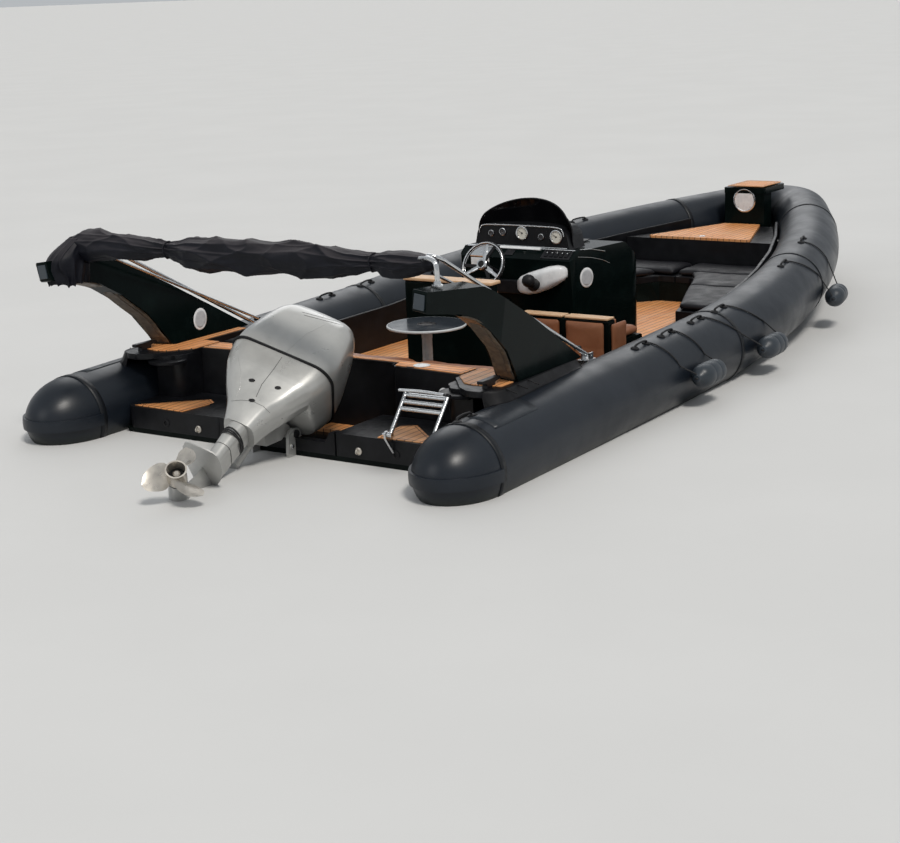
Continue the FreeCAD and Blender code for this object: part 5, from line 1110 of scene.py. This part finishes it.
# Clamp bolts, tilt caps, the motor's hose and the lashing round its leg
for side, word in SIDES:
    for count, z in enumerate((0.06, -0.16, -0.24)):
        lathe("clamp_bolt_%s_%d" % (word, count),
              [(0.011, 0.0), (0.014, 0.001), (0.014, 0.007), (0.011, 0.009)],
              (-0.035, 0.145 * side, z), (0, side, 0), "steel", "stainless", sides=6, sharp=20)
    lathe("tilt_cap_%s" % word, [(0.022, 0.0), (0.025, 0.002), (0.025, 0.008), (0.018, 0.012)],
          (TILT_PIN_X, 0.155 * side, TILT_PIN_Z), (0, side, 0), "rubber", "motor_paint", sides=28)
rod("motor_hose", [swung(-0.02, 0.085, 0.02), swung(-0.05, 0.098, -0.05), swung(-0.085, 0.085, -0.14),
                   swung(-0.105, 0.060, -0.22)], 0.009, "rubber", "motor_paint", "swivel", 6, 10)
for k in range(3):
    z = -0.352 - 0.012 * k
    ring = [upright(-0.302 + 0.114 * math.cos(a), 0.066 * math.sin(a), z + 0.006 * math.sin(a + k))
            for a in circle(28, 1)]
    rod("leg_lashing_%d" % k, ring, 0.0048, "rope", "motor_paint", "motor", steps=1, sides=8)


# Teak panels
TEAK_THICK, TEAK_EDGE = 0.006, 0.0015


def teak_panel(name, outline, z, look="teak", border=0.018):
    """Planked panel, with a line of caulking inside its edges where it has a border."""
    middle = (sum(x for x, _ in outline) / len(outline), sum(y for _, y in outline) / len(outline))
    slab(name, outline, z, TEAK_THICK, look, "teak_deck", edge=TEAK_EDGE)
    if border:
        count = len(outline)
        for k in range(count):
            (x0, y0), (x1, y1) = outline[k], outline[(k + 1) % count]
            dx, dy = x1 - x0, y1 - y0
            size = math.hypot(dx, dy)
            if size < 0.03:
                continue
            nx, ny = -dy / size, dx / size
            if (middle[0] - x0) * nx + (middle[1] - y0) * ny < 0:
                nx, ny = -nx, -ny
            a = (x0 + nx * border, y0 + ny * border)
            b = (x1 + nx * border, y1 + ny * border)
            high = z + TEAK_THICK + 0.0002
            rod("%s_caulk_%d" % (name, k), [(a[0] + dx * 0.03, a[1] + dy * 0.03, high),
                                            (b[0] - dx * 0.03, b[1] - dy * 0.03, high)], 0.002,
                "rubber", "teak_deck", steps=1, sides=6, squash=0.4)


DECK_TEAK_Z, PLATFORM_TEAK_Z = 0.4502, 0.1652
DECK_TEAK = ((0.499, 1.000), (0.455, 1.000), (0.318, 1.120), (0.300, 1.190), (0.330, 1.360),
             (0.455, 1.360), (0.499, 1.205))
DECK_TEAK_INNER = ((0.499, 1.000), (0.499, 1.205), (0.690, 1.205), (0.690, 1.000))
DECK_TEAK_SIDE = ((0.690, 1.140), (0.690, 1.205), (1.120, 1.205), (1.120, 1.140))
STERN_TEAK = ((0.636, 0.0), (0.636, 0.455), (0.556, 0.482), (0.512, 0.975), (0.670, 0.975), (0.670, 0.0))
PLATFORM_TEAK = ((0.020, 1.130), (0.008, 0.730), (0.270, 0.700), (0.330, 0.780))
for side, word in SIDES:
    for part, plan in (("aft", DECK_TEAK), ("inner", DECK_TEAK_INNER), ("side", DECK_TEAK_SIDE)):
        teak_panel("teak_deck_%s_%s" % (part, word), [(x, y * side) for x, y in plan],
                   DECK_TEAK_Z, border=0)
    teak_panel("teak_platform_%s" % word, [(x, y * side) for x, y in PLATFORM_TEAK],
               PLATFORM_TEAK_Z)
teak_panel("teak_stern", mirrored(STERN_TEAK), DECK_TEAK_Z, look="teak_across")
teak_panel("teak_step", ((6.565, -0.165), (6.96, -0.165), (6.98, -0.145), (6.98, 0.145), (6.96, 0.165),
                         (6.565, 0.165)), 0.8170, look="teak_across")
STEP_LIGHT = (6.5452, 0.0, 0.700)
lathe("bow_step_light", [(0.104, 0.0), (0.104, 0.003), (0.096, 0.006), (0.092, 0.005), (0.088, 0.0035)],
      STEP_LIGHT, (-1, 0, 0), "steel", "stainless", sides=48)
lathe("bow_step_light_face", [(0.0885, 0.0), (0.0885, 0.0042), (0.05, 0.0052), (0.004, 0.0056)],
      STEP_LIGHT, (-1, 0, 0), "white", "table_top", sides=48)
for k in range(4):
    a = math.tau * (k + 0.5) / 4
    lathe("bow_step_light_screw_%d" % k, [(0.0045, 0.004), (0.0045, 0.0068), (0.003, 0.0075)],
          (STEP_LIGHT[0], 0.080 * math.cos(a), STEP_LIGHT[2] + 0.080 * math.sin(a)), (-1, 0, 0), "steel",
          "stainless", sides=12)

# Boards on the seats' backs
slab("helm_top_board", [(1.742, -0.398), (1.742, 0.278), (1.752, 0.288), (1.862, 0.288), (1.874, 0.276),
                        (1.874, -0.396), (1.862, -0.408), (1.752, -0.408)], 0.7305, 0.020, "wood",
     "teak_deck", edge=0.006)
for y0, y1, k in ((-1.070, -0.752, 0), (-0.732, -0.414, 1)):
    slab("companion_top_board_%d" % k, [(2.080, y0), (2.080, y1), (2.175, y1), (2.175, y0)], 0.4905, 0.014,
         "wood", "teak_deck", edge=0.005)


# Cushions: the cloth simulation fills them, and noise and seams finish them
def bake(item):
    """Applies an object's modifiers to its mesh."""
    graph = bpy.context.evaluated_depsgraph_get()
    mesh = bpy.data.meshes.new_from_object(item.evaluated_get(graph))
    item.modifiers.clear()
    old = item.data
    item.data = mesh
    if not old.users:
        bpy.data.meshes.remove(old)


CLOTH_FRAMES = 20


def pad(name, low, high, look, cap=0.014, cell=0.016, plan=None, replaces=(), seams=()):
    """A padded cushion between two corners, or over a plan outline."""
    low, high = Vector(low), Vector(high)
    size = high - low
    shape = bmesh.new()
    if plan:
        z0, z1 = low.z, high.z
        bottom = [shape.verts.new((x, y, z0)) for x, y in plan]
        face = shape.faces.new(bottom)
        top = bmesh.ops.extrude_face_region(shape, geom=[face])
        bmesh.ops.translate(shape, vec=(0, 0, z1 - z0),
                            verts=[v for v in top["geom"] if isinstance(v, bmesh.types.BMVert)])
    else:
        bmesh.ops.create_cube(shape, size=1.0)
        for v in shape.verts:
            v.co = Vector(((v.co.x + 0.5) * size.x + low.x, (v.co.y + 0.5) * size.y + low.y,
                           (v.co.z + 0.5) * size.z + low.z))
    bmesh.ops.recalc_face_normals(shape, faces=shape.faces[:])
    mesh = bpy.data.meshes.new(name)
    shape.to_mesh(mesh)
    shape.free()
    item = bpy.data.objects.new(name, mesh)
    bpy.context.scene.collection.objects.link(item)
    bpy.context.view_layer.objects.active = item
    thin = min(size)
    bevel = item.modifiers.new("round", "BEVEL")
    bevel.width = thin * 0.32
    bevel.segments = 4
    remesh = item.modifiers.new("cells", "REMESH")
    remesh.mode = "VOXEL"
    remesh.voxel_size = cell
    smooth = item.modifiers.new("soft", "SMOOTH")
    smooth.iterations = 6
    bake(item)
    start = [v.co.copy() for v in item.data.vertices]
    cloth = item.modifiers.new("cloth", "CLOTH")
    cloth.settings.use_pressure = True
    cloth.settings.uniform_pressure_force = 4.0
    cloth.settings.quality = 5
    cloth.settings.mass = 0.3
    cloth.settings.tension_stiffness = 12
    cloth.settings.compression_stiffness = 12
    cloth.settings.bending_stiffness = 0.6
    cloth.settings.effector_weights.gravity = 0
    cloth.collision_settings.use_collision = False
    cloth.point_cache.frame_start = 1
    cloth.point_cache.frame_end = CLOTH_FRAMES
    for frame_number in range(1, CLOTH_FRAMES + 1):
        bpy.context.scene.frame_set(frame_number)
    bake(item)
    bpy.context.scene.frame_set(1)
    moved = item.data.vertices
    for v, old in zip(moved, start):
        step = v.co - old
        if step.length > cap:
            step = step * (cap / step.length)
        if old.z < low.z + 0.004:
            step.z = max(step.z, 0.0)
        near = noise.noise(old * 9.0) * 0.0016 + noise.noise(old * 31.0) * 0.0006
        v.co = old + step
        v.co.z += near
    for v in moved:
        for axis, at, depth, width in seams:
            gap = abs(v.co[axis] - at)
            if gap < width * 3:
                sink = depth * math.exp(-(gap / width) ** 2)
                for other in range(3):
                    if other != axis:
                        middle = (low[other] + high[other]) / 2
                        reach = (high[other] - low[other]) / 2
                        v.co[other] -= sink * max(-1, min(1, (v.co[other] - middle) / reach)) ** 3
    fine = item.modifiers.new("fine", "SUBSURF")
    fine.levels = fine.render_levels = 1
    bake(item)
    item.data.shade_smooth()
    item.data.materials.append(M[look])
    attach(item, "boat")
    if replaces:
        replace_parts(item, *replaces)


BENCH_SEGMENTS = ((-0.945, -0.325), (-0.315, 0.315), (0.325, 0.945))
for k, (y0, y1) in enumerate(BENCH_SEGMENTS):
    pad("bench_pad_%d" % k, (0.700, y0 + 0.008, 0.3035), (1.074, y1 - 0.008, 0.374), "brown",
        replaces=("bench_cushion",) if k == 1 else (),
        seams=((0, 0.83, 0.004, 0.010), (0, 0.95, 0.004, 0.010)))
pad("helm_seat_pad", (1.905, -0.375, 0.4235), (2.245, 0.255, 0.494), "brown",
    replaces=("helm_cushion",), seams=((1, -0.06, 0.005, 0.010),))
pad("helm_back_pad", (1.868, -0.375, 0.500), (1.906, 0.255, 0.688), "brown", 0.008, 0.012,
    seams=((1, -0.06, 0.004, 0.010), (2, 0.60, 0.003, 0.008)))
for k, (y0, y1) in enumerate(((-1.062, -0.752), (-0.732, -0.422))):
    pad("companion_seat_pad_%d" % k, (2.235, y0, 0.3335), (2.542, y1, 0.382), "brown",
        0.010, 0.012, replaces=("companion_cushion",) if k == 0 else ())
    pad("companion_back_pad_%d" % k, (2.196, y0, 0.392), (2.228, y1, 0.488), "brown",
        0.006, 0.010)
    pad("companion_rear_pad_%d" % k, (2.056, y0 + 0.008, 0.140), (2.0885, y1 - 0.008, 0.482), "brown",
        0.006, 0.012, seams=((2, 0.31, 0.002, 0.008),))
pad("companion_side_pad", (2.105, -1.098, 0.140), (2.300, -1.0705, 0.470), "brown",
    0.005, 0.012)

BOW_PLAN = {
    "aft": ((3.795, 0.715), (4.30, 0.515), (4.60, 0.403), (4.60, 0.925), (4.20, 1.015), (3.795, 1.075)),
    "middle": ((4.615, 0.398), (4.972, 0.262), (5.172, 0.152), (5.172, 0.775), (4.98, 0.83),
               (4.615, 0.920)),
    "fore": ((5.187, 0.012), (5.584, 0.012), (5.584, 0.640), (5.40, 0.700), (5.187, 0.768)),
}
for side, word in SIDES:
    for part, plan in BOW_PLAN.items():
        corners = [(x, y * side) for x, y in plan]
        pad("bow_pad_%s_%s" % (word, part), (min(x for x, _ in corners), min(y for _, y in corners), 0.2425),
            (max(x for x, _ in corners), max(y for _, y in corners), 0.292), "grey",
            0.012, 0.016, plan=corners, replaces=("bow_cushions",) if (part, side) == ("aft", 1) else ())

# Table edge, post plate and rim
TABLE_AT = (1.33, -0.18, 0.526)
lathe("table_rim", [(0.251, -0.001), (0.2545, 0.002), (0.2545, 0.0125), (0.251, 0.0155), (0.2485, 0.0155),
                    (0.2485, 0.0135)], TABLE_AT, (0, 0, 1), "light_plastic", "table_top",
      sides=72, sharp=50)
lathe("table_top_skin", [(0.2480, 0.0145), (0.2480, 0.0156), (0.10, 0.0160), (0.002, 0.0160)],
      TABLE_AT, (0, 0, 1), "table_skin", "table_top", sides=72)
lathe("table_post_plate", [(0.060, 0.0160), (0.060, 0.0178), (0.045, 0.0190), (0.020, 0.0186)],
      TABLE_AT, (0, 0, 1), "dark_plastic", "table_top", sides=48)
lathe("table_post_sleeve", [(0.0325, 0.0), (0.0325, 0.30), (0.0345, 0.302), (0.0345, 0.33), (0.0325, 0.332)],
      (TABLE_AT[0], TABLE_AT[1], 0.150), (0, 0, 1), "light_plastic", "table_top", sides=40)
lathe("table_socket_stern", [(0.050, 0.0), (0.050, 0.003), (0.038, 0.005), (0.034, 0.002), (0.010, 0.001)],
      (0.600, -0.640, 0.4565), (0, 0, 1), "light_plastic", "table_top", sides=40)

# Console: trim, instruments, screen edge, wheel and throttle
AFT = (-1, 0, 0)
POD_FACE_X = 2.7995


def gauge(name, y, z, r, look="dial"):
    """A round instrument of radius r on the pod's face."""
    lathe(name + "_bezel", [(r * 1.12, 0.0), (r * 1.14, 0.004), (r * 1.10, 0.009), (r * 0.98, 0.010),
                            (r * 0.92, 0.006), (r * 0.90, 0.003)], (POD_FACE_X, y, z), AFT, "steel",
          "stainless", sides=48)
    lathe(name + "_dial", [(r * 0.93, 0.0015), (r * 0.93, 0.004), (r * 0.5, 0.0045), (0.001, 0.0045)],
          (POD_FACE_X, y, z), AFT, look, "table_top", sides=48)
    for k in range(9):
        a = math.radians(-30 + 240 * k / 8)
        base = Vector((POD_FACE_X - 0.0052, y, z))
        ray = Vector((0, math.cos(a), math.sin(a)))
        rod("%s_mark_%d" % (name, k), [base + ray * r * 0.68, base + ray * r * 0.84], 0.0012, "rubber",
            "table_top", steps=1, sides=5)
    base = Vector((POD_FACE_X - 0.0062, y, z))
    ray = Vector((0, 0.86, 0.5))
    rod(name + "_needle", [base - ray * r * 0.15, base + ray * r * 0.66], 0.0014, "needle", "table_top",
        steps=1, sides=5)
    lathe(name + "_boss", [(r * 0.12, 0.004), (r * 0.12, 0.0085), (r * 0.06, 0.0095)],
          (POD_FACE_X, y, z), AFT, "rubber", "table_top", sides=20)


gauge("gauge_engine", -0.01, 0.915, 0.044)
gauge("gauge_speed", -0.285, 0.900, 0.044)
gauge("gauge_fuel", 0.150, 0.918, 0.024, "dial_dark")
gauge("gauge_volt", -0.165, 0.895, 0.020, "dial_dark")
gauge("gauge_trim", 0.245, 0.905, 0.020, "dial_dark")
rod("pod_trim", [(2.796, 0.345, 0.905), (2.795, 0.335, 0.940), (2.795, 0.300, 0.962), (2.795, 0.15, 0.967),
                 (2.795, -0.15, 0.967), (2.795, -0.300, 0.962), (2.795, -0.335, 0.940),
                 (2.796, -0.345, 0.905)], 0.0042, "steel", "stainless", steps=5)
rod("pod_foot_trim", [(2.796, 0.372, 0.822), (2.796, -0.372, 0.822)], 0.0045, "steel", "stainless",
    steps=1)
rod("dash_trim", [(2.788, 0.445, 0.8115), (2.786, 0.0, 0.8125), (2.788, -0.440, 0.8115)], 0.0060, "steel",
    "stainless", steps=4)
rod("dash_bright_strip", [(2.783, 0.165, 0.812), (2.781, 0.0, 0.813), (2.783, -0.165, 0.812)], 0.0125,
    "white", "stainless", steps=4, squash=0.5, hint=(-0.55, 0, 0.83))
rod("dash_bright_edge", [(2.783, 0.435, 0.812), (2.783, 0.190, 0.812)], 0.0085, "steel", "stainless",
    steps=1, squash=0.6, hint=(-0.55, 0, 0.83))


def on_dash(name, y0, y1, s0, s1, thick, look, slot, edge=0.003):
    """A plate on the sloping dash between shares of its rise."""
    low, high = Vector((2.700, 0, 0.750)), Vector((2.790, 0, 0.810))
    up = (high - low).normalized()
    out = Vector((-up.z, 0, up.x))
    corners = []
    for push in (-0.001, thick):
        for y, s in ((y0, s0), (y1, s0), (y1, s1), (y0, s1)):
            p = low + (high - low) * s + out * push
            corners.append((p.x, y, p.z))
    return rounded(piece(name, corners, BLOCK_FACES, look, slot, smooth=False), edge)


on_dash("dash_panel_starboard", -0.20, -0.43, 0.12, 0.90, 0.005, "dark_plastic", "black_moulding")
for k in range(5):
    y = -0.225 - 0.040 * k
    on_dash("dash_switch_%d" % k, y, y - 0.026, 0.28, 0.72, 0.011, "satin", "black_moulding", 0.002)
    on_dash("dash_lamp_%d" % k, y - 0.009, y - 0.017, 0.60, 0.66, 0.0118, "light_plastic", "table_top",
            0.0008)
on_dash("dash_wheel_plate", 0.365, 0.205, -0.05, 0.86, 0.012, "steel", "stainless")
on_dash("dash_key_plate", 0.10, 0.03, 0.25, 0.80, 0.006, "dark_plastic", "black_moulding")
brick("dash_drop_plate", (2.694, 0.210, 0.685), (2.708, 0.360, 0.742), "white", "stainless", edge=0.004)
brick("console_lower_box", (2.684, -0.10, 0.50), (2.712, 0.36, 0.60), "satin", "black_moulding", edge=0.010)
brick("console_door_port", (2.697, 0.05, 0.12), (2.7245, 0.40, 0.46), "gloss", "gloss_black", edge=0.008)
lathe("console_door_latch", [(0.022, 0.0), (0.022, 0.004), (0.014, 0.007)], (2.699, 0.10, 0.30), AFT,
      "steel", "stainless", sides=28)
rod("console_foot_rail", [(2.712, 0.34, 0.165), (2.665, 0.33, 0.168), (2.660, 0.0, 0.168),
                          (2.665, -0.33, 0.168), (2.712, -0.34, 0.165)], 0.0125, "steel", "stainless",
    steps=6, sides=12)

# Throttle: pale fairing that rises to starboard, a black boot, lever and ball grip
CONSOLE_FACE_X = 2.704
FAIRING = (
    # y, middle height, half height, depth aft of the console's face
    (-0.030, 0.570, 0.012, 0.012), (-0.040, 0.571, 0.038, 0.040), (-0.070, 0.575, 0.060, 0.066),
    (-0.130, 0.585, 0.076, 0.086), (-0.200, 0.602, 0.082, 0.096), (-0.280, 0.630, 0.080, 0.094),
    (-0.350, 0.655, 0.066, 0.078), (-0.400, 0.668, 0.048, 0.054), (-0.420, 0.672, 0.030, 0.028),
    (-0.426, 0.673, 0.010, 0.010),
)


def fairing():
    """A squarish hump through the rows."""
    rings = []
    for low, high in zip(FAIRING, FAIRING[1:]):
        for k in range(4):
            y, z, half, deep = [p + (q - p) * k / 4 for p, q in zip(low, high)]
            rings.append([(CONSOLE_FACE_X - deep * math.copysign(abs(math.cos(a)) ** 0.5, math.cos(a)), y,
                           z + half * math.copysign(abs(math.sin(a)) ** 0.5, math.sin(a)))
                          for a in circle(40)])
    piece("throttle_fairing", *join_rings(rings), "white", "table_top", sharp=60)


fairing()
lathe("throttle_boot", [(0.052, 0.0), (0.052, 0.006), (0.040, 0.014), (0.034, 0.020), (0.028, 0.032),
                        (0.018, 0.036)], (2.612, -0.205, 0.596), (-0.96, 0, 0.28), "rubber",
      "black_moulding", sides=32, sharp=60)
rod("throttle_lever", [(2.600, -0.205, 0.600), (2.578, -0.206, 0.608), (2.560, -0.208, 0.618)], 0.010,
    "steel", "stainless", steps=4, sides=12)
lathe("throttle_grip", [(0.010, -0.044), (0.028, -0.038), (0.041, -0.022), (0.046, 0.0), (0.041, 0.022),
                        (0.028, 0.038), (0.010, 0.044)], (2.540, -0.208, 0.628), (0, 1, 0.2), "rubber",
      "black_moulding", sides=36, sharp=60)

# Steering wheel dressing, in the wheel's own tilted plane
WHEEL_AT, WHEEL_TILT = Vector((2.5, 0.13, 0.725)), math.radians(25)
WHEEL_OUT = Vector((-math.cos(WHEEL_TILT), 0, math.sin(WHEEL_TILT)))
WHEEL_UP = Vector((math.sin(WHEEL_TILT), 0, math.cos(WHEEL_TILT)))
WHEEL_SIDE = Vector((0, 1, 0))


def on_wheel(r, degrees, out=0.0):
    """A point of the wheel by radius, angle and rise from its plane."""
    a = math.radians(degrees)
    return WHEEL_AT + (WHEEL_UP * math.sin(a) + WHEEL_SIDE * math.cos(a)) * r + WHEEL_OUT * out


for name, reach, out, thick in (("wheel_ring", 0.158, 0.0122, 0.0052),
                                ("wheel_inner_ring", 0.1475, 0.004, 0.0035)):
    rod(name, [on_wheel(reach, 5 * k, out) for k in range(73)], thick, "steel", "stainless", "wheel_body",
        steps=1, sides=8)
for k, degrees in enumerate((90, 210, 330)):
    rod("wheel_spoke_skin_%d" % k, [on_wheel(0.036, degrees, 0.008), on_wheel(0.09, degrees, 0.0075),
                                    on_wheel(0.150, degrees, 0.006)], [0.016] * 7 + [0.012] * 6, "steel",
        "stainless", "wheel_body", steps=6, sides=10, squash=0.25, hint=WHEEL_OUT)
lathe("wheel_boss", [(0.040, 0.022), (0.040, 0.028), (0.034, 0.034), (0.020, 0.037), (0.004, 0.038)],
      WHEEL_AT, WHEEL_OUT, "steel", "stainless", "wheel_body", sides=36)
lathe("wheel_boss_cap", [(0.024, 0.036), (0.022, 0.0395), (0.012, 0.041), (0.002, 0.041)], WHEEL_AT,
      WHEEL_OUT, "rubber", "black_moulding", "wheel_body", sides=32)
for k in range(24):
    a = 15 * k
    rod("wheel_stitch_%d" % k, [on_wheel(0.1712, a, 0.0), on_wheel(0.1700, a + 1.2, 0.006)], 0.0016, "steel",
        "stainless", "wheel_body", steps=1, sides=5)

# Windscreen, its rim, and trim on the console's side
SCREEN_X, SCREEN_BULGE, SCREEN_LEAN, SCREEN_THICK, HOOD_X = 2.852, 0.158, -0.045, 0.006, 2.8495
SCREEN_FOOT_Z, SCREEN_END_Z, SCREEN_CROWN, SCREEN_HALF = 0.8105, 0.900, 0.238, 0.384
rows, cols = 22, 64
verts = []
for thick in (0.0, SCREEN_THICK):
    for i in range(rows + 1):
        v = i / rows
        for j in range(cols + 1):
            a = math.pi * j / cols
            y = SCREEN_HALF * math.cos(a)
            top = SCREEN_END_Z + SCREEN_CROWN * math.sin(a) ** 0.85
            curve = SCREEN_BULGE * (1 - (y / (SCREEN_HALF + 0.008)) ** 2)
            x = SCREEN_X + curve + SCREEN_LEAN * v * v + thick
            verts.append((max(x, HOOD_X), y, SCREEN_FOOT_Z + (top - SCREEN_FOOT_Z) * v))
faces = grid_faces(cols, rows) + grid_faces(cols, rows, (rows + 1) * (cols + 1))
screen = piece("windscreen_shell", verts, faces, "smoked", "smoked_screen", sharp=60)
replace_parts(screen, "windscreen")
rod("windscreen_edge", [Vector(verts[rows * (cols + 1) + j]) + Vector((0.003, 0, 0))
                        for j in range(cols + 1)], 0.0055, "rubber", "black_moulding", steps=1, sides=8)
CONSOLE_LINES_PX = (((580, 249.5), (592, 249), (605, 251)),
                    ((578, 257), (592, 257.5), (602, 259.5), (610, 263)))
for k, pixels in enumerate(CONSOLE_LINES_PX):
    line_on("console_line_%d" % k, console_tree, pixels, 0.0030 - 0.0010 * k, "light_plastic", "stainless",
            steps=6)
rod("console_base_trim", [(2.735, -0.461, 0.055), (3.10, -0.490, 0.055), (3.45, -0.508, 0.055)], 0.004,
    "rubber", "black_moulding", steps=5)
slab("console_top_hatch", [(3.08, -0.27), (3.08, 0.27), (3.34, 0.25), (3.34, -0.25)], 0.8035, 0.008, "satin",
     "gloss_black", edge=0.004)
brick("console_front_seat_pad", (3.45, -0.26, 0.655), (3.74, 0.26, 0.665), "rubber", "gloss_black",
      edge=0.004)

# Stern fittings
for side, word in SIDES:
    lathe("tow_eye_plate_%s" % word, [(0.022, 0.0), (0.022, 0.004), (0.017, 0.007), (0.008, 0.008)],
          (-0.0005, 0.60 * side, 0.075), AFT, "steel_warm", "stainless", sides=28)
    ring = [Vector((-0.007 - 0.022 * math.sin(a), 0.60 * side, 0.075 + 0.014 * math.cos(a)))
            for a in (math.pi * k / 12 for k in range(13))]
    rod("tow_eye_%s" % word, ring, 0.004, "steel_warm", "stainless", steps=1, sides=10)
    lathe("drain_%s" % word, [(0.024, 0.0), (0.024, 0.004), (0.014, 0.006), (0.012, -0.004)],
          (-0.0005, 0.86 * side, 0.085), AFT, "rubber", "black_moulding", sides=28)
    for k, x in enumerate((0.30, 0.42, 0.54)):
        rod("deck_strap_%s_%d" % (word, k), [(x, 1.406 * side, 0.452), (x + 0.02, 1.43 * side, 0.436),
                                             (x + 0.03, 1.46 * side, 0.425)], 0.004, "rubber",
            "fender_vinyl", steps=4, sides=8)
    lathe("drum_rim_%s" % word, [(0.118, 0.0), (0.124, 0.004), (0.124, 0.018), (0.118, 0.022),
                                 (0.100, 0.023)], (0.31, 1.10 * side, 0.385), (0, 0, 1), "satin",
          "black_moulding", sides=56)
lathe("ladder_fitting", [(0.034, 0.0), (0.034, 0.004), (0.028, 0.008), (0.014, 0.010), (0.004, 0.010)],
      (0.500 - 0.003, -0.86, 0.330), AFT, "white", "table_top", sides=36)
rod("ladder_top_line", [(0.055, -0.86, 0.445), (0.06, -1.01, 0.449), (0.055, -1.16, 0.445)], 0.0085,
    "steel", "stainless", "ladder_body", steps=4, sides=10)
LADDER_PIVOT_X, LADDER_PIVOT_Z, RAIL_REACH, RAIL_LEAN = -0.062, 0.215, 0.270, math.radians(50.5)
for word, y in (("outer", -1.15), ("inner", -0.87)):
    lathe("ladder_cap_%s" % word, [(0.0135, -0.006), (0.0155, -0.004), (0.0155, 0.010), (0.010, 0.014)],
          (LADDER_PIVOT_X + RAIL_REACH * math.cos(RAIL_LEAN), y,
           LADDER_PIVOT_Z + RAIL_REACH * math.sin(RAIL_LEAN)),
          (math.cos(RAIL_LEAN), 0, math.sin(RAIL_LEAN)), "rubber", "stainless", "ladder_body", sides=20)

# Bow details
for k in range(9):
    rod("lid_slot_%d" % k, [(5.66, -0.40 + 0.10 * k, 0.5006), (5.70, -0.40 + 0.10 * k, 0.5006)], 0.0015,
        "rubber", "teak_deck", "bow_lid_body", steps=1, sides=6, squash=0.4)
lathe("lid_ring", [(0.030, 0.0), (0.030, 0.002), (0.024, 0.003), (0.018, 0.0015)], (5.70, 0.0, 0.4995),
      (0, 0, 1), "steel", "stainless", "bow_lid_body", sides=32)

# Floor at the waterline, soft studio light
FAR = 3000
floor_mesh = bpy.data.meshes.new("floor")
floor_mesh.from_pydata([(-FAR, -FAR, 0), (FAR, -FAR, 0), (FAR, FAR, 0), (-FAR, FAR, 0)], [], [(0, 1, 2, 3)])
floor = bpy.data.objects.new("floor", floor_mesh)
bpy.context.scene.collection.objects.link(floor)
floor_finish = Finish("floor", (0.62, 0.62, 0.61), 0.9)
floor_finish.vary((0.565, 0.565, 0.56), (0.58, 0.58, 0.575), 0.6)
floor_mesh.materials.append(floor_finish.m)

world = bpy.data.worlds.new("studio")
world.use_nodes = True
world.node_tree.nodes["Background"].inputs[0].default_value = (0.92, 0.96, 1.0, 1)
world.node_tree.nodes["Background"].inputs[1].default_value = 0.50
bpy.context.scene.world = world


def lamp(name, place, target, size, power):
    """A rectangular lamp near the boat."""
    data = bpy.data.lights.new(name, "AREA")
    data.shape = "RECTANGLE"
    data.size, data.size_y = size
    data.energy = power
    item = bpy.data.objects.new(name, data)
    item.location = place
    item.rotation_mode = "QUATERNION"
    item.rotation_quaternion = (Vector(place) - Vector(target)).to_track_quat("Z", "Y")
    bpy.context.scene.collection.objects.link(item)


def far_lamp(name, direction, spread, strength, colour=(1, 1, 1)):
    """A large lamp so far away that it lights the whole floor evenly."""
    data = bpy.data.lights.new(name, "SUN")
    data.angle = math.radians(spread)
    data.energy = strength
    data.color = colour
    item = bpy.data.objects.new(name, data)
    item.rotation_mode = "QUATERNION"
    item.rotation_quaternion = Vector(direction).to_track_quat("Z", "Y")
    bpy.context.scene.collection.objects.link(item)


far_lamp("key", (-6, -9, 16), 14, 2.1, (1.0, 0.96, 0.90))
far_lamp("rim", (13, 8, 10), 40, 0.5)
lamp("fill", (-16, 6, 9), (2, 0, 0.3), (9, 6), 330)
